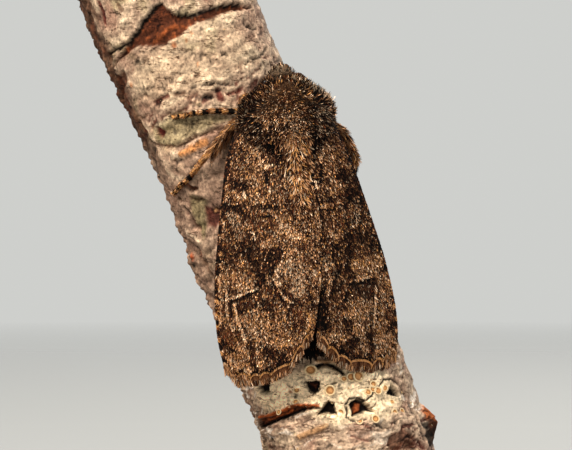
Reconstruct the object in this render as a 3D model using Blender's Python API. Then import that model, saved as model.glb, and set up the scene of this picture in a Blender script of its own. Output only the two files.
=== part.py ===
"""A life-size dark noctuid moth at rest on a cut length of branch, held by a plain stand.

Every length is in millimetres and becomes metres through MM. The row frame has +Z up, +X to
the right and -Y towards the side that the moth's back faces. Its origin is the middle of the
underside of the stand's base.

The moth is modelled in its own body frame: +X to its right, +Y to its head and +Z out of its
back, with the origin in the middle of its thorax. An empty carries that frame to the branch.
"""

import math

import bmesh
import bpy
from mathutils import Matrix, Vector

MM = 0.001
GAP = 0.3  # between the pieces of the stand and perch, and round the wing plates
FINE_GAP = 0.2  # between the thorax and the wings, and an eye and its socket

# The whole model
PERCH_MIDDLE_HEIGHT = 26.5
BODY_TILT = 6.0  # degrees that the moth leans to its left
BODY_PITCH = 5.0  # degrees that its tail end is nearer to the bark than its head
BODY_ROLL = 6.0  # degrees that its back turns to its right
THORAX_AT = (0.0, -7.4, PERCH_MIDDLE_HEIGHT + 6.56)

# Perch
BRANCH_RADIUS = 5.4
BRANCH_ROUTE = ((-9.3, 17.8), (-5.9, 10.3), (-1.3, 0.0), (2.75, -10.3), (4.9, -17.4))  # (x, rise)
BRANCH_RINGS = 34
BRANCH_SIDES = 26
BARK_WAVES = ((2, 0.35, 0.1), (3, -0.6, 0.07), (5, 1.1, 0.04))  # times round, twist, height
BUD_SCAR = (-14.6, 84.0, 0.8, 0.9)  # rise, angle round the branch, height, spread
LEFT_KNOT = (-0.4, -84.0, 0.3, 0.9)

# Stand
BASE_SIZE = (42.0, 32.0, 3.5)
BASE_CORNER = 3.0
BASE_EDGE = 0.5
ROD_RADIUS = 1.2
ROD_DEPTH = 6.0  # how far the rod goes up into the branch

# Forewing, as seen from above: x is out from the midline, y is to the head
WING_THICK = 0.5
COSTA = (
    (3.1, -0.3),
    (3.8, -2.0),
    (4.35, -4.2),
    (4.98, -7.0),
    (5.57, -10.0),
    (5.85, -13.2),
    (5.65, -15.5),
    (5.4, -16.2),
)
TERMEN = ((0.1, -13.5), (0.65, -14.95), (1.8, -15.95), (3.3, -16.5), (4.6, -16.55), (5.4, -16.2))
DORSUM = ((1.0, -1.6), (1.35, -6.0), (0.9, -10.0), (0.1, -13.5))  # how far it laps the midline
WING_SKEW = 0.0083  # how much wider the right wing's end is held, for each mm to the tail
SKEW_MIDDLE = -10.5
FOREWING_STEPS = (20, 10)  # along, across
TERMEN_SCALLOPS = 8
SCALLOP_DEPTH = 0.1

# The roof that the wings form over the body
RIDGE_HEIGHT = 2.95
RIDGE_DROP = 0.0092
RIDGE_TURN = -2.5  # the ridge drops away behind here
ROOF_FALL = (2.45, 0.04)  # from ridge to costa, and more for each mm to the tail
ROOF_WIDTH = (5.8, 2.65, 5.5)  # half width at the tail, less at the root, over this length
ROOF_CROWN = 0.02  # rounds the ridge
ROOF_CURVE = 0.58  # share of the fall that is curved

# Hindwing, folded flat under the forewing
HIND_OUTER = ((2.5, -2.2), (3.7, -5.0), (4.7, -9.5), (4.4, -12.0))
HIND_END = ((1.7, -12.3), (2.2, -13.1), (3.7, -13.3), (4.4, -12.0))
HIND_INNER = ((1.9, -2.6), (2.1, -5.0), (1.9, -9.0), (1.7, -12.3))
HINDWING_STEPS = (12, 5)

# Body sections: (y, half width, top, level of the greatest width, bottom)
THORAX = (
    (2.6, 1.1, 1.7, 1.3, 0.95),
    (2.15, 1.8, 2.15, 1.2, 0.6),
    (1.8, 2.25, 2.4, 1.0, 0.1),
    (1.45, 2.65, 2.6, 0.5, -1.5),
    (1.05, 3.02, 2.8, 0.5, -1.95),
    (0.5, 3.15, 3.0, 0.7, -2.0),
    (-0.2, 3.12, 3.15, 0.7, -2.0),
    (-0.8, 3.0, 3.25, 0.7, -1.95),
    (-1.4, 2.6, 3.3, 0.6, -1.85),
    (-2.0, 2.1, 3.3, 0.5, -1.75),
    (-2.6, 1.6, 3.2, 0.4, -1.6),
    (-3.0, 1.25, 2.9, 0.3, -1.45),
)
SHOULDER_GROOVE = 0.16  # parts the wing covers from the back of the thorax
GROOVE_AT = (60.0, 120.0)  # degrees round the section
GROOVE_WIDTH = 11.0
ABDOMEN = (
    (-3.25, 1.55, 1.75, 0.2, -1.35),
    (-4.2, 1.9, 1.9, 0.2, -1.45),
    (-5.5, 1.95, 1.85, 0.15, -1.45),
    (-7.0, 1.85, 1.7, 0.1, -1.4),
    (-8.5, 1.65, 1.45, 0.05, -1.25),
    (-10.0, 1.35, 1.1, 0.0, -1.05),
    (-11.2, 1.05, 0.75, -0.1, -0.9),
    (-12.0, 0.75, 0.4, -0.2, -0.75),
)
ABDOMEN_TIP = (-12.6, -0.2)
ABDOMEN_RIB = 0.05  # how far each second ring of the abdomen stands out
HEAD = (
    (2.0, 1.0, 0.05, -0.6, -1.4),
    (2.35, 1.3, 0.4, -0.6, -1.75),
    (2.75, 1.3, 0.6, -0.55, -1.8),
    (3.05, 1.0, 0.85, -0.2, -1.2),
    (3.35, 0.65, 0.85, 0.3, -0.35),
)
HEAD_TIP = (3.58, 0.45)
BODY_SIDES = 24
UNDERSIDE_POWER = 1.7  # under 2 pinches the body in below its widest level

EYE_AT = (1.0, 2.5, -0.5)
EYE_RADIUS = 0.56

# Feelers and mouth parts, given for the right side
ANTENNA_ROUTE = (
    (0.7, 3.05, 1.0),
    (1.1, 2.85, 0.6),
    (1.5, 2.45, 0.2),
    (1.85, 2.1, -0.35),
    (2.3, 1.6, -0.75),
    (2.9, 0.8, -0.85),
    (3.15, -0.2, -0.6),
    (3.3, -1.6, -0.5),
    (3.45, -3.6, -0.7),
    (3.65, -5.6, -0.85),
)
ANTENNA_RADIUS = 0.25
PALP_ROUTE = ((0.4, 2.8, -2.25), (0.42, 3.12, -2.1), (0.41, 3.4, -1.5), (0.38, 3.45, -0.85))
PALP_RADII = (0.25, 0.3, 0.28, 0.25)

# Legs: hip and knee in the body frame, ankle and toes on the bark as
# (rise, angle round the branch, centre's height over the bark)
LEGS = {
    "foreleg_left": ((-0.9, 1.2, -2.45), (-2.3, 1.75, -2.0), (6.55, 12, 0.75), (7.55, -20, 0.55)),
    "midleg_left": ((-1.2, 0.1, -2.5), (-2.9, 0.2, -1.6), (4.1, -28.5, 0.8), (3.5, -48, 0.55)),
    "hindleg_left": ((-1.0, -1.5, -2.2), (-2.9, -2.6, -1.3), (0.3, -26, 0.9), (-3.2, -28, 0.55)),
    "foreleg_right": ((0.9, 1.2, -2.45), (2.5, 1.3, -2.6), (6.0, 66, 0.8), (7.3, 84, 0.55)),
    "midleg_right": ((1.2, 0.1, -2.5), (3.45, -0.9, -1.3), (0.6, 57, 2.9), (-2.8, 60, 0.55)),
    "hindleg_right": ((1.0, -1.5, -2.2), (3.0, -3.0, -2.1), (-2.6, 42, 0.8), (-5.8, 45, 0.55)),
}
FEMUR_RADIUS = 0.36
TIBIA_RADIUS = 0.32
TARSUS_RADIUS = 0.25
LEG_SIDES = 8
TUBE_SIDES = 8
CURVE_STEPS = 6  # between two points of a smooth edge

COLOURS = {
    "wing_scales": ((0.075, 0.05, 0.034), 0.85, 0.0),
    "body_fur": ((0.06, 0.042, 0.03), 0.9, 0.0),
    "leg_scales": ((0.17, 0.09, 0.04), 0.75, 0.0),
    "eye_facets": ((0.012, 0.009, 0.007), 0.25, 0.0),
    "bark": ((0.42, 0.35, 0.27), 0.9, 0.0),
    "stand_wood": ((0.05, 0.028, 0.017), 0.45, 0.0),
    "stand_steel": ((0.55, 0.54, 0.52), 0.3, 1.0),
}


def clear_scene():
    """Removes whatever objects the scene starts with."""
    for obj in list(bpy.data.objects):
        bpy.data.objects.remove(obj, do_unlink=True)


def make_materials():
    """One Principled material for each finish."""
    made = {}
    for name, (colour, roughness, metallic) in COLOURS.items():
        material = bpy.data.materials.new(name)
        material.use_nodes = True
        shader = material.node_tree.nodes["Principled BSDF"]
        shader.inputs["Base Color"].default_value = (*colour, 1.0)
        shader.inputs["Roughness"].default_value = roughness
        shader.inputs["Metallic"].default_value = metallic
        made[name] = material
    return made


def mesh_object(name, points, faces, material, parent=None):
    """An object from points in millimetres, with its faces turned outwards."""
    mesh = bpy.data.meshes.new(name)
    mesh.from_pydata([Vector(p) * MM for p in points], [], faces)
    shell = bmesh.new()
    shell.from_mesh(mesh)
    bmesh.ops.recalc_face_normals(shell, faces=shell.faces)
    shell.to_mesh(mesh)
    shell.free()
    mesh.materials.append(material)
    mesh.shade_smooth()
    mesh.set_sharp_from_angle(angle=math.radians(50))
    obj = bpy.data.objects.new(name, mesh)
    bpy.context.scene.collection.objects.link(obj)
    obj.parent = parent
    return obj


def hidden(cutter):
    """Marks a cutter, so that it is no piece of the model."""
    cutter.hide_render = True
    cutter.display_type = "WIRE"
    return cutter


def cut_away(obj, cutter):
    """Takes the cutter's shape out of obj."""
    boolean = obj.modifiers.new("cut_" + cutter.name, "BOOLEAN")
    boolean.operation = "DIFFERENCE"
    boolean.object = cutter


def smooth_path(route, steps):
    """A Catmull-Rom curve through the route's points, with this many steps for each stretch."""
    points = [Vector(p) for p in route]
    points = [2 * points[0] - points[1], *points, 2 * points[-1] - points[-2]]
    path = []
    for before, start, end, after in zip(points, points[1:], points[2:], points[3:]):
        for step in range(steps):
            t = step / steps
            bend = (2 * before - 5 * start + 4 * end - after) * t**2
            twist = (3 * start - before - 3 * end + after) * t**3
            path.append(0.5 * (2 * start + (end - before) * t + bend + twist))
    return [*path, points[-2]]


def interpolate(values, share):
    """Reads a list of numbers or points at a share of its length."""
    place = share * (len(values) - 1)
    low = min(int(place), len(values) - 2)
    return values[low] + (values[low + 1] - values[low]) * (place - low)


def loft(rings, first_tip=None, last_tip=None):
    """Points and faces of a closed skin over rings of equal length, capped flat or to a tip."""
    sides = len(rings[0])
    points = [p for ring in rings for p in ring]
    faces = []
    for row in range(len(rings) - 1):
        for side in range(sides):
            after = (side + 1) % sides
            start, end = row * sides, (row + 1) * sides
            faces.append((start + side, start + after, end + after, end + side))
    for tip, start in ((first_tip, 0), (last_tip, (len(rings) - 1) * sides)):
        rim = range(start, start + sides)
        if tip is None:
            faces.append(tuple(rim))
            continue
        points.append(tip)
        faces += [(a, b, len(points) - 1) for a, b in zip(rim, [*rim[1:], rim[0]])]
    return points, faces


def tube(path, radii, sides=TUBE_SIDES):
    """A closed tube along a path, with rounded ends. Radii are read along its length."""
    lengths = [0.0]
    for before, after in zip(path, path[1:]):
        lengths.append(lengths[-1] + (after - before).length)
    across = (path[1] - path[0]).orthogonal().normalized()
    rings = []
    for index, centre in enumerate(path):
        ahead = path[min(index + 1, len(path) - 1)] - path[max(index - 1, 0)]
        ahead.normalize()
        across = (across - ahead * across.dot(ahead)).normalized()
        beside = ahead.cross(across)
        radius = interpolate(radii, lengths[index] / lengths[-1])
        if index in (0, len(path) - 1):
            radius *= 0.7
        turns = [2 * math.pi * side / sides for side in range(sides)]
        rings.append(
            [centre + (across * math.cos(t) + beside * math.sin(t)) * radius for t in turns]
        )
    start_way = (path[0] - path[1]).normalized()
    end_way = (path[-1] - path[-2]).normalized()
    return loft(
        rings,
        path[0] + start_way * radii[0] * 0.45,
        path[-1] + end_way * radii[-1] * 0.45,
    )


def body_frame():
    """The moth's body frame in the row frame, in millimetres."""
    return (
        Matrix.Translation(THORAX_AT)
        @ Matrix.Rotation(-math.radians(BODY_TILT), 4, "Y")
        @ Matrix.Rotation(math.radians(90 + BODY_PITCH), 4, "X")
        @ Matrix.Rotation(math.radians(BODY_ROLL), 4, "Y")
    )


def body_ring(section, grow=0.0, groove=0.0):
    """One ring of the body: a rounded section, pinched in below its widest level."""
    y, half_width, top, level, bottom = section
    ring = []
    for side in range(BODY_SIDES):
        turn = 2 * math.pi * side / BODY_SIDES
        power = 2.0 if math.sin(turn) >= 0 else UNDERSIDE_POWER
        height = top - level if math.sin(turn) >= 0 else level - bottom
        out = math.copysign(abs(math.cos(turn)) ** (2 / power), math.cos(turn))
        rise = math.copysign(abs(math.sin(turn)) ** (2 / power), math.sin(turn))
        more = grow
        for groove_turn in GROOVE_AT:
            away = (math.degrees(turn) - groove_turn) / GROOVE_WIDTH
            more -= groove * math.exp(-(away**2))
        ring.append(((half_width + more) * out, y, level + (height + more) * rise))
    return ring


def make_thorax(parent, material):
    """The furred thorax, with the collar and the wing covers in its outline."""
    rings = [body_ring(section, groove=SHOULDER_GROOVE) for section in THORAX]
    return mesh_object("thorax", *loft(rings), material, parent)


def thorax_cutter(parent, material):
    """The thorax grown by a gap, which parts the wings from it."""
    first, last = THORAX[0], THORAX[-1]
    ends = (first[0] + FINE_GAP, *first[1:]), (last[0] - FINE_GAP, *last[1:])
    rings = [body_ring(section, FINE_GAP) for section in (ends[0], *THORAX[1:-1], ends[1])]
    return hidden(mesh_object("thorax_gap", *loft(rings), material, parent))


def make_abdomen(parent, material):
    """The tapering abdomen, faintly ringed, that the wings cover."""
    rings = [body_ring(section, ABDOMEN_RIB * (row % 2)) for row, section in enumerate(ABDOMEN)]
    y, z = ABDOMEN_TIP
    return mesh_object("abdomen", *loft(rings, last_tip=(0, y, z)), material, parent)


def make_head(parent, materials):
    """The head under the collar, with a socket for each eye, and the two eyes."""
    rings = [body_ring(section) for section in HEAD]
    y, z = HEAD_TIP
    head = mesh_object("head", *loft(rings, last_tip=(0, y, z)), materials["body_fur"], parent)
    for side, word in ((-1, "left"), (1, "right")):
        make_eye("eye_" + word, side, EYE_RADIUS, parent, materials["eye_facets"])
        socket = make_eye(
            "eye_socket_" + word, side, EYE_RADIUS + FINE_GAP, parent, materials["eye_facets"]
        )
        cut_away(head, hidden(socket))


def make_eye(name, side, radius, parent, material):
    """One domed compound eye."""
    shell = bmesh.new()
    bmesh.ops.create_icosphere(shell, subdivisions=2, radius=radius)
    points = [v.co + Vector((side * EYE_AT[0], *EYE_AT[1:])) for v in shell.verts]
    faces = [tuple(v.index for v in face.verts) for face in shell.faces]
    shell.free()
    return mesh_object(name, points, faces, material, parent)


def make_feelers(parent, material):
    """Both antennae, laid back along the thorax, and the two palps before the face."""
    for side, word in ((-1, "left"), (1, "right")):
        route = [(side * x, y, z) for x, y, z in ANTENNA_ROUTE]
        antenna = tube(smooth_path(route, 2), (ANTENNA_RADIUS, ANTENNA_RADIUS))
        mesh_object("antenna_" + word, *antenna, material, parent)
        route = [(side * x, y, z) for x, y, z in PALP_ROUTE]
        palp = tube(smooth_path(route, 3), PALP_RADII)
        mesh_object("palp_" + word, *palp, material, parent)


def roof_height(x, y):
    """Height of the forewings' upper side over a place beside the midline."""
    ridge = RIDGE_HEIGHT - RIDGE_DROP * min(0.0, y - RIDGE_TURN) ** 2
    widest, less_at_root, length = ROOF_WIDTH
    share = abs(x) / (widest - less_at_root * math.exp(min(y, 0.0) / length))
    straight = math.sqrt(share**2 + ROOF_CROWN) - math.sqrt(ROOF_CROWN)
    fall = (1 - ROOF_CURVE) * straight + ROOF_CURVE * share**2
    return ridge - (ROOF_FALL[0] - ROOF_FALL[1] * y) * fall


def plan_point(edges, along, across):
    """A place on a wing's plan: along runs from root to end, across from inner to outer edge."""
    inner, outer, end = edges
    root = inner[0].lerp(outer[0], across)
    sides = interpolate(inner, along).lerp(interpolate(outer, along), across)
    ends = root.lerp(interpolate(end, across), along)
    return sides + ends - root.lerp(end[0].lerp(end[-1], across), along)


def wing_plate(edges, side, steps, depth, scallops=0):
    """Points and faces of a wing plate whose upper side lies a depth under the roof."""
    rows, columns = steps
    upper, lower = [], []
    for row in range(rows + 1):
        for column in range(columns + 1):
            across = column / columns
            x, y = plan_point(edges, row / rows, across)
            if scallops and row == rows:
                y += SCALLOP_DEPTH * math.cos(2 * math.pi * scallops * across)
            x *= 1 + side * WING_SKEW * (SKEW_MIDDLE - y)
            height = roof_height(x, y) - depth
            upper.append((side * x, y, height))
            lower.append((side * x, y, height - WING_THICK))
    width = columns + 1
    count = len(upper)
    faces = []
    for row in range(rows):
        for column in range(columns):
            a = row * width + column
            faces.append((a, a + 1, a + width + 1, a + width))
            faces.append((count + a, count + a + width, count + a + width + 1, count + a + 1))
    rim = list(range(width))
    rim += [row * width + columns for row in range(1, rows + 1)]
    rim += [rows * width + column for column in range(columns - 1, -1, -1)]
    rim += [row * width for row in range(rows - 1, 0, -1)]
    for a, b in zip(rim, [*rim[1:], rim[0]]):
        faces.append((a, count + a, count + b, b))
    return upper + lower, faces


def plan_edges(*routes):
    """Smooth edges through each route's points."""
    return [smooth_path(route, CURVE_STEPS) for route in routes]


def make_wings(parent, material, cutter):
    """The forewings in a low roof, the left lapped over the ridge, and the hindwings below."""
    for side, word in ((-1, "left"), (1, "right")):
        inner = [(-x if side < 0 else x + GAP, y) for x, y in DORSUM]
        edges = plan_edges(inner, COSTA, [inner[-1], *TERMEN[1:]])
        plate = wing_plate(edges, side, FOREWING_STEPS, 0.0, TERMEN_SCALLOPS)
        cut_away(mesh_object("forewing_" + word, *plate, material, parent), cutter)
        edges = plan_edges(HIND_INNER, HIND_OUTER, HIND_END)
        plate = wing_plate(edges, side, HINDWING_STEPS, WING_THICK + GAP)
        cut_away(mesh_object("hindwing_" + word, *plate, material, parent), cutter)


def branch_centre(rise):
    """The middle of the branch at a height over or under the middle of the perch."""
    path = smooth_path([(x, 0.0, z) for x, z in BRANCH_ROUTE], 12)
    above = [p for p in path if p.z >= rise] or [path[0]]
    below = [p for p in path if p.z < rise] or [path[-1]]
    high, low = above[-1], below[0]
    share = (rise - low.z) / max(high.z - low.z, 1e-6)
    return low.lerp(high, share) + Vector((0, 0, PERCH_MIDDLE_HEIGHT))


def branch_side(rise):
    """The way across the branch, to the right, at this height."""
    upward = (branch_centre(rise + 0.5) - branch_centre(rise - 0.5)).normalized()
    return upward.cross(Vector((0, -1, 0))).normalized()


def bark_radius(rise, angle):
    """The branch's radius here, with its gentle unevenness, its bud scar and its knot."""
    turn = math.radians(angle)
    radius = BRANCH_RADIUS
    for times, twist, height in BARK_WAVES:
        radius += height * math.sin(times * turn + twist * rise)
    for at_rise, at_angle, height, spread in (BUD_SCAR, LEFT_KNOT):
        round_way = math.radians((angle - at_angle + 180) % 360 - 180) * BRANCH_RADIUS
        away = math.hypot(rise - at_rise, round_way) / spread
        radius += height * math.exp(-(away**2))
    return radius


def bark_point(rise, angle, height):
    """A point over the bark: angle 0 faces the moth's side and grows to the right."""
    turn = math.radians(angle)
    way = Vector((0, -math.cos(turn), 0)) + branch_side(rise) * math.sin(turn)
    return branch_centre(rise) + way * (bark_radius(rise, angle) + height)


def make_branch(material):
    """The cut length of branch, square cut at both ends, drilled below for the rod."""
    top, bottom = BRANCH_ROUTE[0][1], BRANCH_ROUTE[-1][1]
    rings = []
    for step in range(BRANCH_RINGS + 1):
        rise = top + (bottom - top) * step / BRANCH_RINGS
        turns = [360 * side / BRANCH_SIDES for side in range(BRANCH_SIDES)]
        rings.append([bark_point(rise, turn, 0.0) for turn in turns])
    return mesh_object("perch_branch", *loft(rings), material)


def rounded_outline(width, depth, corner, steps=5):
    """The outline of a plate with round corners, about the origin."""
    outline = []
    for index, (sx, sy) in enumerate(((1, 1), (-1, 1), (-1, -1), (1, -1))):
        centre = Vector((sx * (width / 2 - corner), sy * (depth / 2 - corner)))
        for step in range(steps + 1):
            turn = math.pi / 2 * (index + step / steps)
            outline.append(centre + Vector((math.cos(turn), math.sin(turn))) * corner)
    return outline


def round_bar(name, centre, radius, low, high, material, sides=20):
    """An upright round bar between two heights."""
    turns = [2 * math.pi * side / sides for side in range(sides)]
    rings = [
        [(centre.x + radius * math.cos(t), centre.y + radius * math.sin(t), level) for t in turns]
        for level in (low, high)
    ]
    return mesh_object(name, *loft(rings), material)


def make_stand(materials, branch):
    """The base and the rod that goes up into the branch's lower end."""
    width, depth, height = BASE_SIZE
    rings = []
    for inset, level in ((0, 0), (0, height - BASE_EDGE), (BASE_EDGE, height)):
        corner = BASE_CORNER - inset
        outline = rounded_outline(width - 2 * inset, depth - 2 * inset, corner)
        rings.append([(p.x, p.y, level) for p in outline])
    mesh_object("stand_base", *loft(rings), materials["stand_wood"])
    foot = branch_centre(BRANCH_ROUTE[-1][1])
    top = foot.z + ROD_DEPTH
    round_bar("stand_rod", foot, ROD_RADIUS, height + GAP, top, materials["stand_steel"])
    hole = round_bar("rod_hole", foot, ROD_RADIUS + GAP, 0.0, top + GAP, materials["bark"])
    cut_away(branch, hidden(hole))


def limb_path(joints, round_share=0.3, steps=4):
    """A path through a limb's joints, with each bend rounded off."""
    path = [joints[0]]
    for before, joint, after in zip(joints, joints[1:], joints[2:]):
        start = joint.lerp(before, round_share)
        end = joint.lerp(after, round_share)
        for step in range(steps + 1):
            t = step / steps
            path.append(start.lerp(joint, t).lerp(joint.lerp(end, t), t))
    return [*path, joints[-1]]


def make_legs(parent, material):
    """Six legs, each from its hip under the thorax to its toes on the bark."""
    into_body = body_frame().inverted()
    for name, (hip, knee, ankle, toes) in LEGS.items():
        on_bark = []
        for share in (0.0, 0.5, 1.0):
            rise, angle, height = (a + (t - a) * share for a, t in zip(ankle, toes))
            on_bark.append(into_body @ bark_point(rise, angle, height))
        joints = [Vector(hip), Vector(knee), *on_bark]
        radii = (FEMUR_RADIUS, FEMUR_RADIUS, TIBIA_RADIUS, TIBIA_RADIUS, TARSUS_RADIUS)
        limb = tube(limb_path(joints), (*radii, TARSUS_RADIUS, TARSUS_RADIUS), LEG_SIDES)
        mesh_object(name, *limb, material, parent)


def main():
    """Builds the moth, its perch and the stand."""
    clear_scene()
    materials = make_materials()
    moth = bpy.data.objects.new("moth_frame", None)
    bpy.context.scene.collection.objects.link(moth)
    frame = body_frame()
    moth.matrix_world = Matrix.Translation(frame.translation * MM) @ frame.to_3x3().to_4x4()
    make_thorax(moth, materials["body_fur"])
    cutter = thorax_cutter(moth, materials["body_fur"])
    make_abdomen(moth, materials["body_fur"])
    make_head(moth, materials)
    make_feelers(moth, materials["leg_scales"])
    make_wings(moth, materials["wing_scales"], cutter)
    make_legs(moth, materials["leg_scales"])
    branch = make_branch(materials["bark"])
    make_stand(materials, branch)


main()
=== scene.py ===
"""The looks of a life-size museum model: a dark noctuid moth at rest on a cut length of branch.

Lengths are in millimetres until a mesh is written. Three sets of coordinates are used:

* row: the part's own frame, +Z up and -Y towards the side that the moth's back faces.
* body: +X to the moth's right, +Y to its head and +Z out of its back, from the thorax's middle.
* bark: (rise, angle), the rise over the middle of the perch, and the angle round the branch in
  degrees, 0 towards the moth's side and growing to the right.
"""

from __future__ import annotations

import logging
import math
from dataclasses import dataclass, field
from enum import Enum

import bpy
import numpy as np
from mathutils import Matrix


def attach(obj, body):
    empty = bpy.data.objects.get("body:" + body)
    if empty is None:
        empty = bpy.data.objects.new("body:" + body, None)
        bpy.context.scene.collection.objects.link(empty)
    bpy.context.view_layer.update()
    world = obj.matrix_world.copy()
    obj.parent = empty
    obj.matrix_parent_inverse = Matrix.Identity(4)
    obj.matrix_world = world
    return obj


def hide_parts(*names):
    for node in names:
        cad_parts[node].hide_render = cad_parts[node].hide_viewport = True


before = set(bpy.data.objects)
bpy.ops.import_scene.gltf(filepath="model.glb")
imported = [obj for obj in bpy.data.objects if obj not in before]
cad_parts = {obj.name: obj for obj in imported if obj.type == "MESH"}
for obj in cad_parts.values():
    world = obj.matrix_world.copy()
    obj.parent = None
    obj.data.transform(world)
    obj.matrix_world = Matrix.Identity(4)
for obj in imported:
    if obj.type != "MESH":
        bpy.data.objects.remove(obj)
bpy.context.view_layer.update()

LOG = logging.getLogger("moth")
MM = 0.001
Array = np.ndarray
Material = bpy.types.Material
Mesh = bpy.types.Mesh
Object = bpy.types.Object
Socket = bpy.types.NodeSocket


# ---- small sums


def linear(colour: tuple[float, ...]) -> Array:
    """Turns an sRGB colour of 0 to 255 into linear light of 0 to 1."""
    share = np.asarray(colour, float) / 255
    return np.where(share <= 0.04045, share / 12.92, ((share + 0.055) / 1.055) ** 2.4)


def unit(vectors: Array) -> Array:
    """Vectors of the same ways and of length one."""
    return vectors / np.maximum(np.linalg.norm(vectors, axis=-1, keepdims=True), 1e-9)


def squared(vectors: Array, way: Array) -> Array:
    """Unit vectors like the given ones, but square to the ways."""
    return unit(vectors - way * (vectors * way).sum(-1, keepdims=True))


def smooth(low: float, high: float, value: Array) -> Array:
    """Rises from 0 at low to 1 at high, with level ends."""
    share = np.clip((np.asarray(value, float) - low) / (high - low), 0, 1)
    return share * share * (3 - 2 * share)


def blend(first: Array, second: Array, share: Array) -> Array:
    """First where the share is 0 and second where it is 1."""
    return first + (second - first) * share


def smooth_path(route: tuple, steps: int) -> Array:
    """A Catmull-Rom curve through a route.

    Args:
        route: its points.
        steps: how many steps each stretch is cut into.

    Returns:
        The curve's points, one to a row.
    """
    points = np.asarray(route, float)
    points = np.vstack([2 * points[0] - points[1], points, 2 * points[-1] - points[-2]])
    t = (np.arange(steps) / steps)[:, None]
    path = []
    for before, start, end, after in zip(points, points[1:], points[2:], points[3:]):
        bend = (2 * before - 5 * start + 4 * end - after) * t**2
        twist = (3 * start - before - 3 * end + after) * t**3
        path.append(0.5 * (2 * start + (end - before) * t + bend + twist))
    return np.vstack([*path, points[-2]])


def read(path: Array, share: Array) -> Array:
    """Reads a path at shares of its count of points."""
    place = np.clip(share, 0, 1) * (len(path) - 1)
    low = np.minimum(place.astype(int), len(path) - 2)
    rest = (place - low)[..., None]
    return path[low] * (1 - rest) + path[low + 1] * rest


def lengths_of(path: Array) -> Array:
    """How far along a path each of its points lies."""
    return np.concatenate([[0], np.cumsum(np.linalg.norm(np.diff(path, axis=0), axis=1))])


def spread_over(path: Array, steps: Array, at: Array) -> Array:
    """Points at distances along a path, whose own points lie at the given steps."""
    return np.stack([np.interp(at, steps, path[:, i]) for i in range(3)], 1)


def distance_to(route: Array, points: Array) -> Array:
    """How far each point is from a route of straight stretches, or from a single point."""
    corners = np.asarray(route, float)
    if len(corners) == 1:
        return np.linalg.norm(points - corners[0], axis=-1)
    nearest = np.full(points.shape[:-1], np.inf)
    for start, end in zip(corners, corners[1:]):
        way = end - start
        share = np.clip(((points - start) @ way) / max(way @ way, 1e-12), 0, 1)
        away = np.linalg.norm(points - start - share[..., None] * way, axis=-1)
        nearest = np.minimum(nearest, away)
    return nearest


def grain(points: Array, size: float | Array, seed: int) -> Array:
    """Smooth random values over space.

    Args:
        points: places, one to a row, with two or three numbers each.
        size: how far apart the values change, one number or one for each axis.
        seed: which pattern.

    Returns:
        A number from 0 to 1 for each place.
    """
    if points.shape[-1] == 2:
        points = np.concatenate([points, np.zeros((*points.shape[:-1], 1))], -1)
    scaled = points / np.asarray(size, float) + seed * 17.31
    cell = np.floor(scaled).astype(np.int64)
    rest = scaled - cell
    rest = rest * rest * (3 - 2 * rest)
    total = np.zeros(points.shape[:-1])
    for corner in np.ndindex(2, 2, 2):
        x, y, z = np.moveaxis(cell + np.array(corner), -1, 0)
        number = (x * 374761393 + y * 668265263 + z * 1440662683 + seed * 974634777) & 0x7FFFFFFF
        number = ((number ^ (number >> 13)) * 1274126177) & 0x7FFFFFFF
        value = ((number ^ (number >> 16)) & 0xFFFF) / 65535.0
        total += value * np.where(np.array(corner) == 1, rest, 1 - rest).prod(-1)
    return total


def mottle(points: Array, size: float | Array, seed: int, layers: int = 3) -> Array:
    """Grain at several sizes, from -1 to 1."""
    total, weight = 0.0, 0.0
    for layer in range(layers):
        share = 0.55**layer
        total = total + share * (2 * grain(points, np.asarray(size) / 2**layer, seed + layer) - 1)
        weight += share
    return total / weight * 1.6


def mottles(points: Array, size: float, seeds: tuple[int, ...] | range) -> Array:
    """One mottle for each seed, side by side."""
    return np.stack([mottle(points, size, seed) for seed in seeds], -1)


def rows_of(table: str) -> list[tuple[str, Array, list[float]]]:
    """Reads a table with lines of "name: places: sizes", whose places are parted by commas.

    Args:
        table: the lines.

    Returns:
        Each line's name, its places as rows of numbers, and its sizes.
    """
    rows = []
    for line in table.strip().splitlines():
        name, places, sizes = line.split(":")
        route = np.array([place.split() for place in places.split(",")], float)
        rows.append((name, route, [float(size) for size in sizes.split()]))
    return rows


# ---- hues of the coat


class Hue(Enum):
    """The colours of single scales and hairs, as sRGB."""

    BLACK = (10, 7, 5)
    BROWN = (54, 30, 19)
    UMBER = (106, 67, 41)
    TAN = (200, 147, 103)
    PALE = (248, 212, 174)
    GREY = (160, 137, 112)
    RUFOUS = (118, 60, 32)
    OCHRE = (204, 144, 82)


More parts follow.
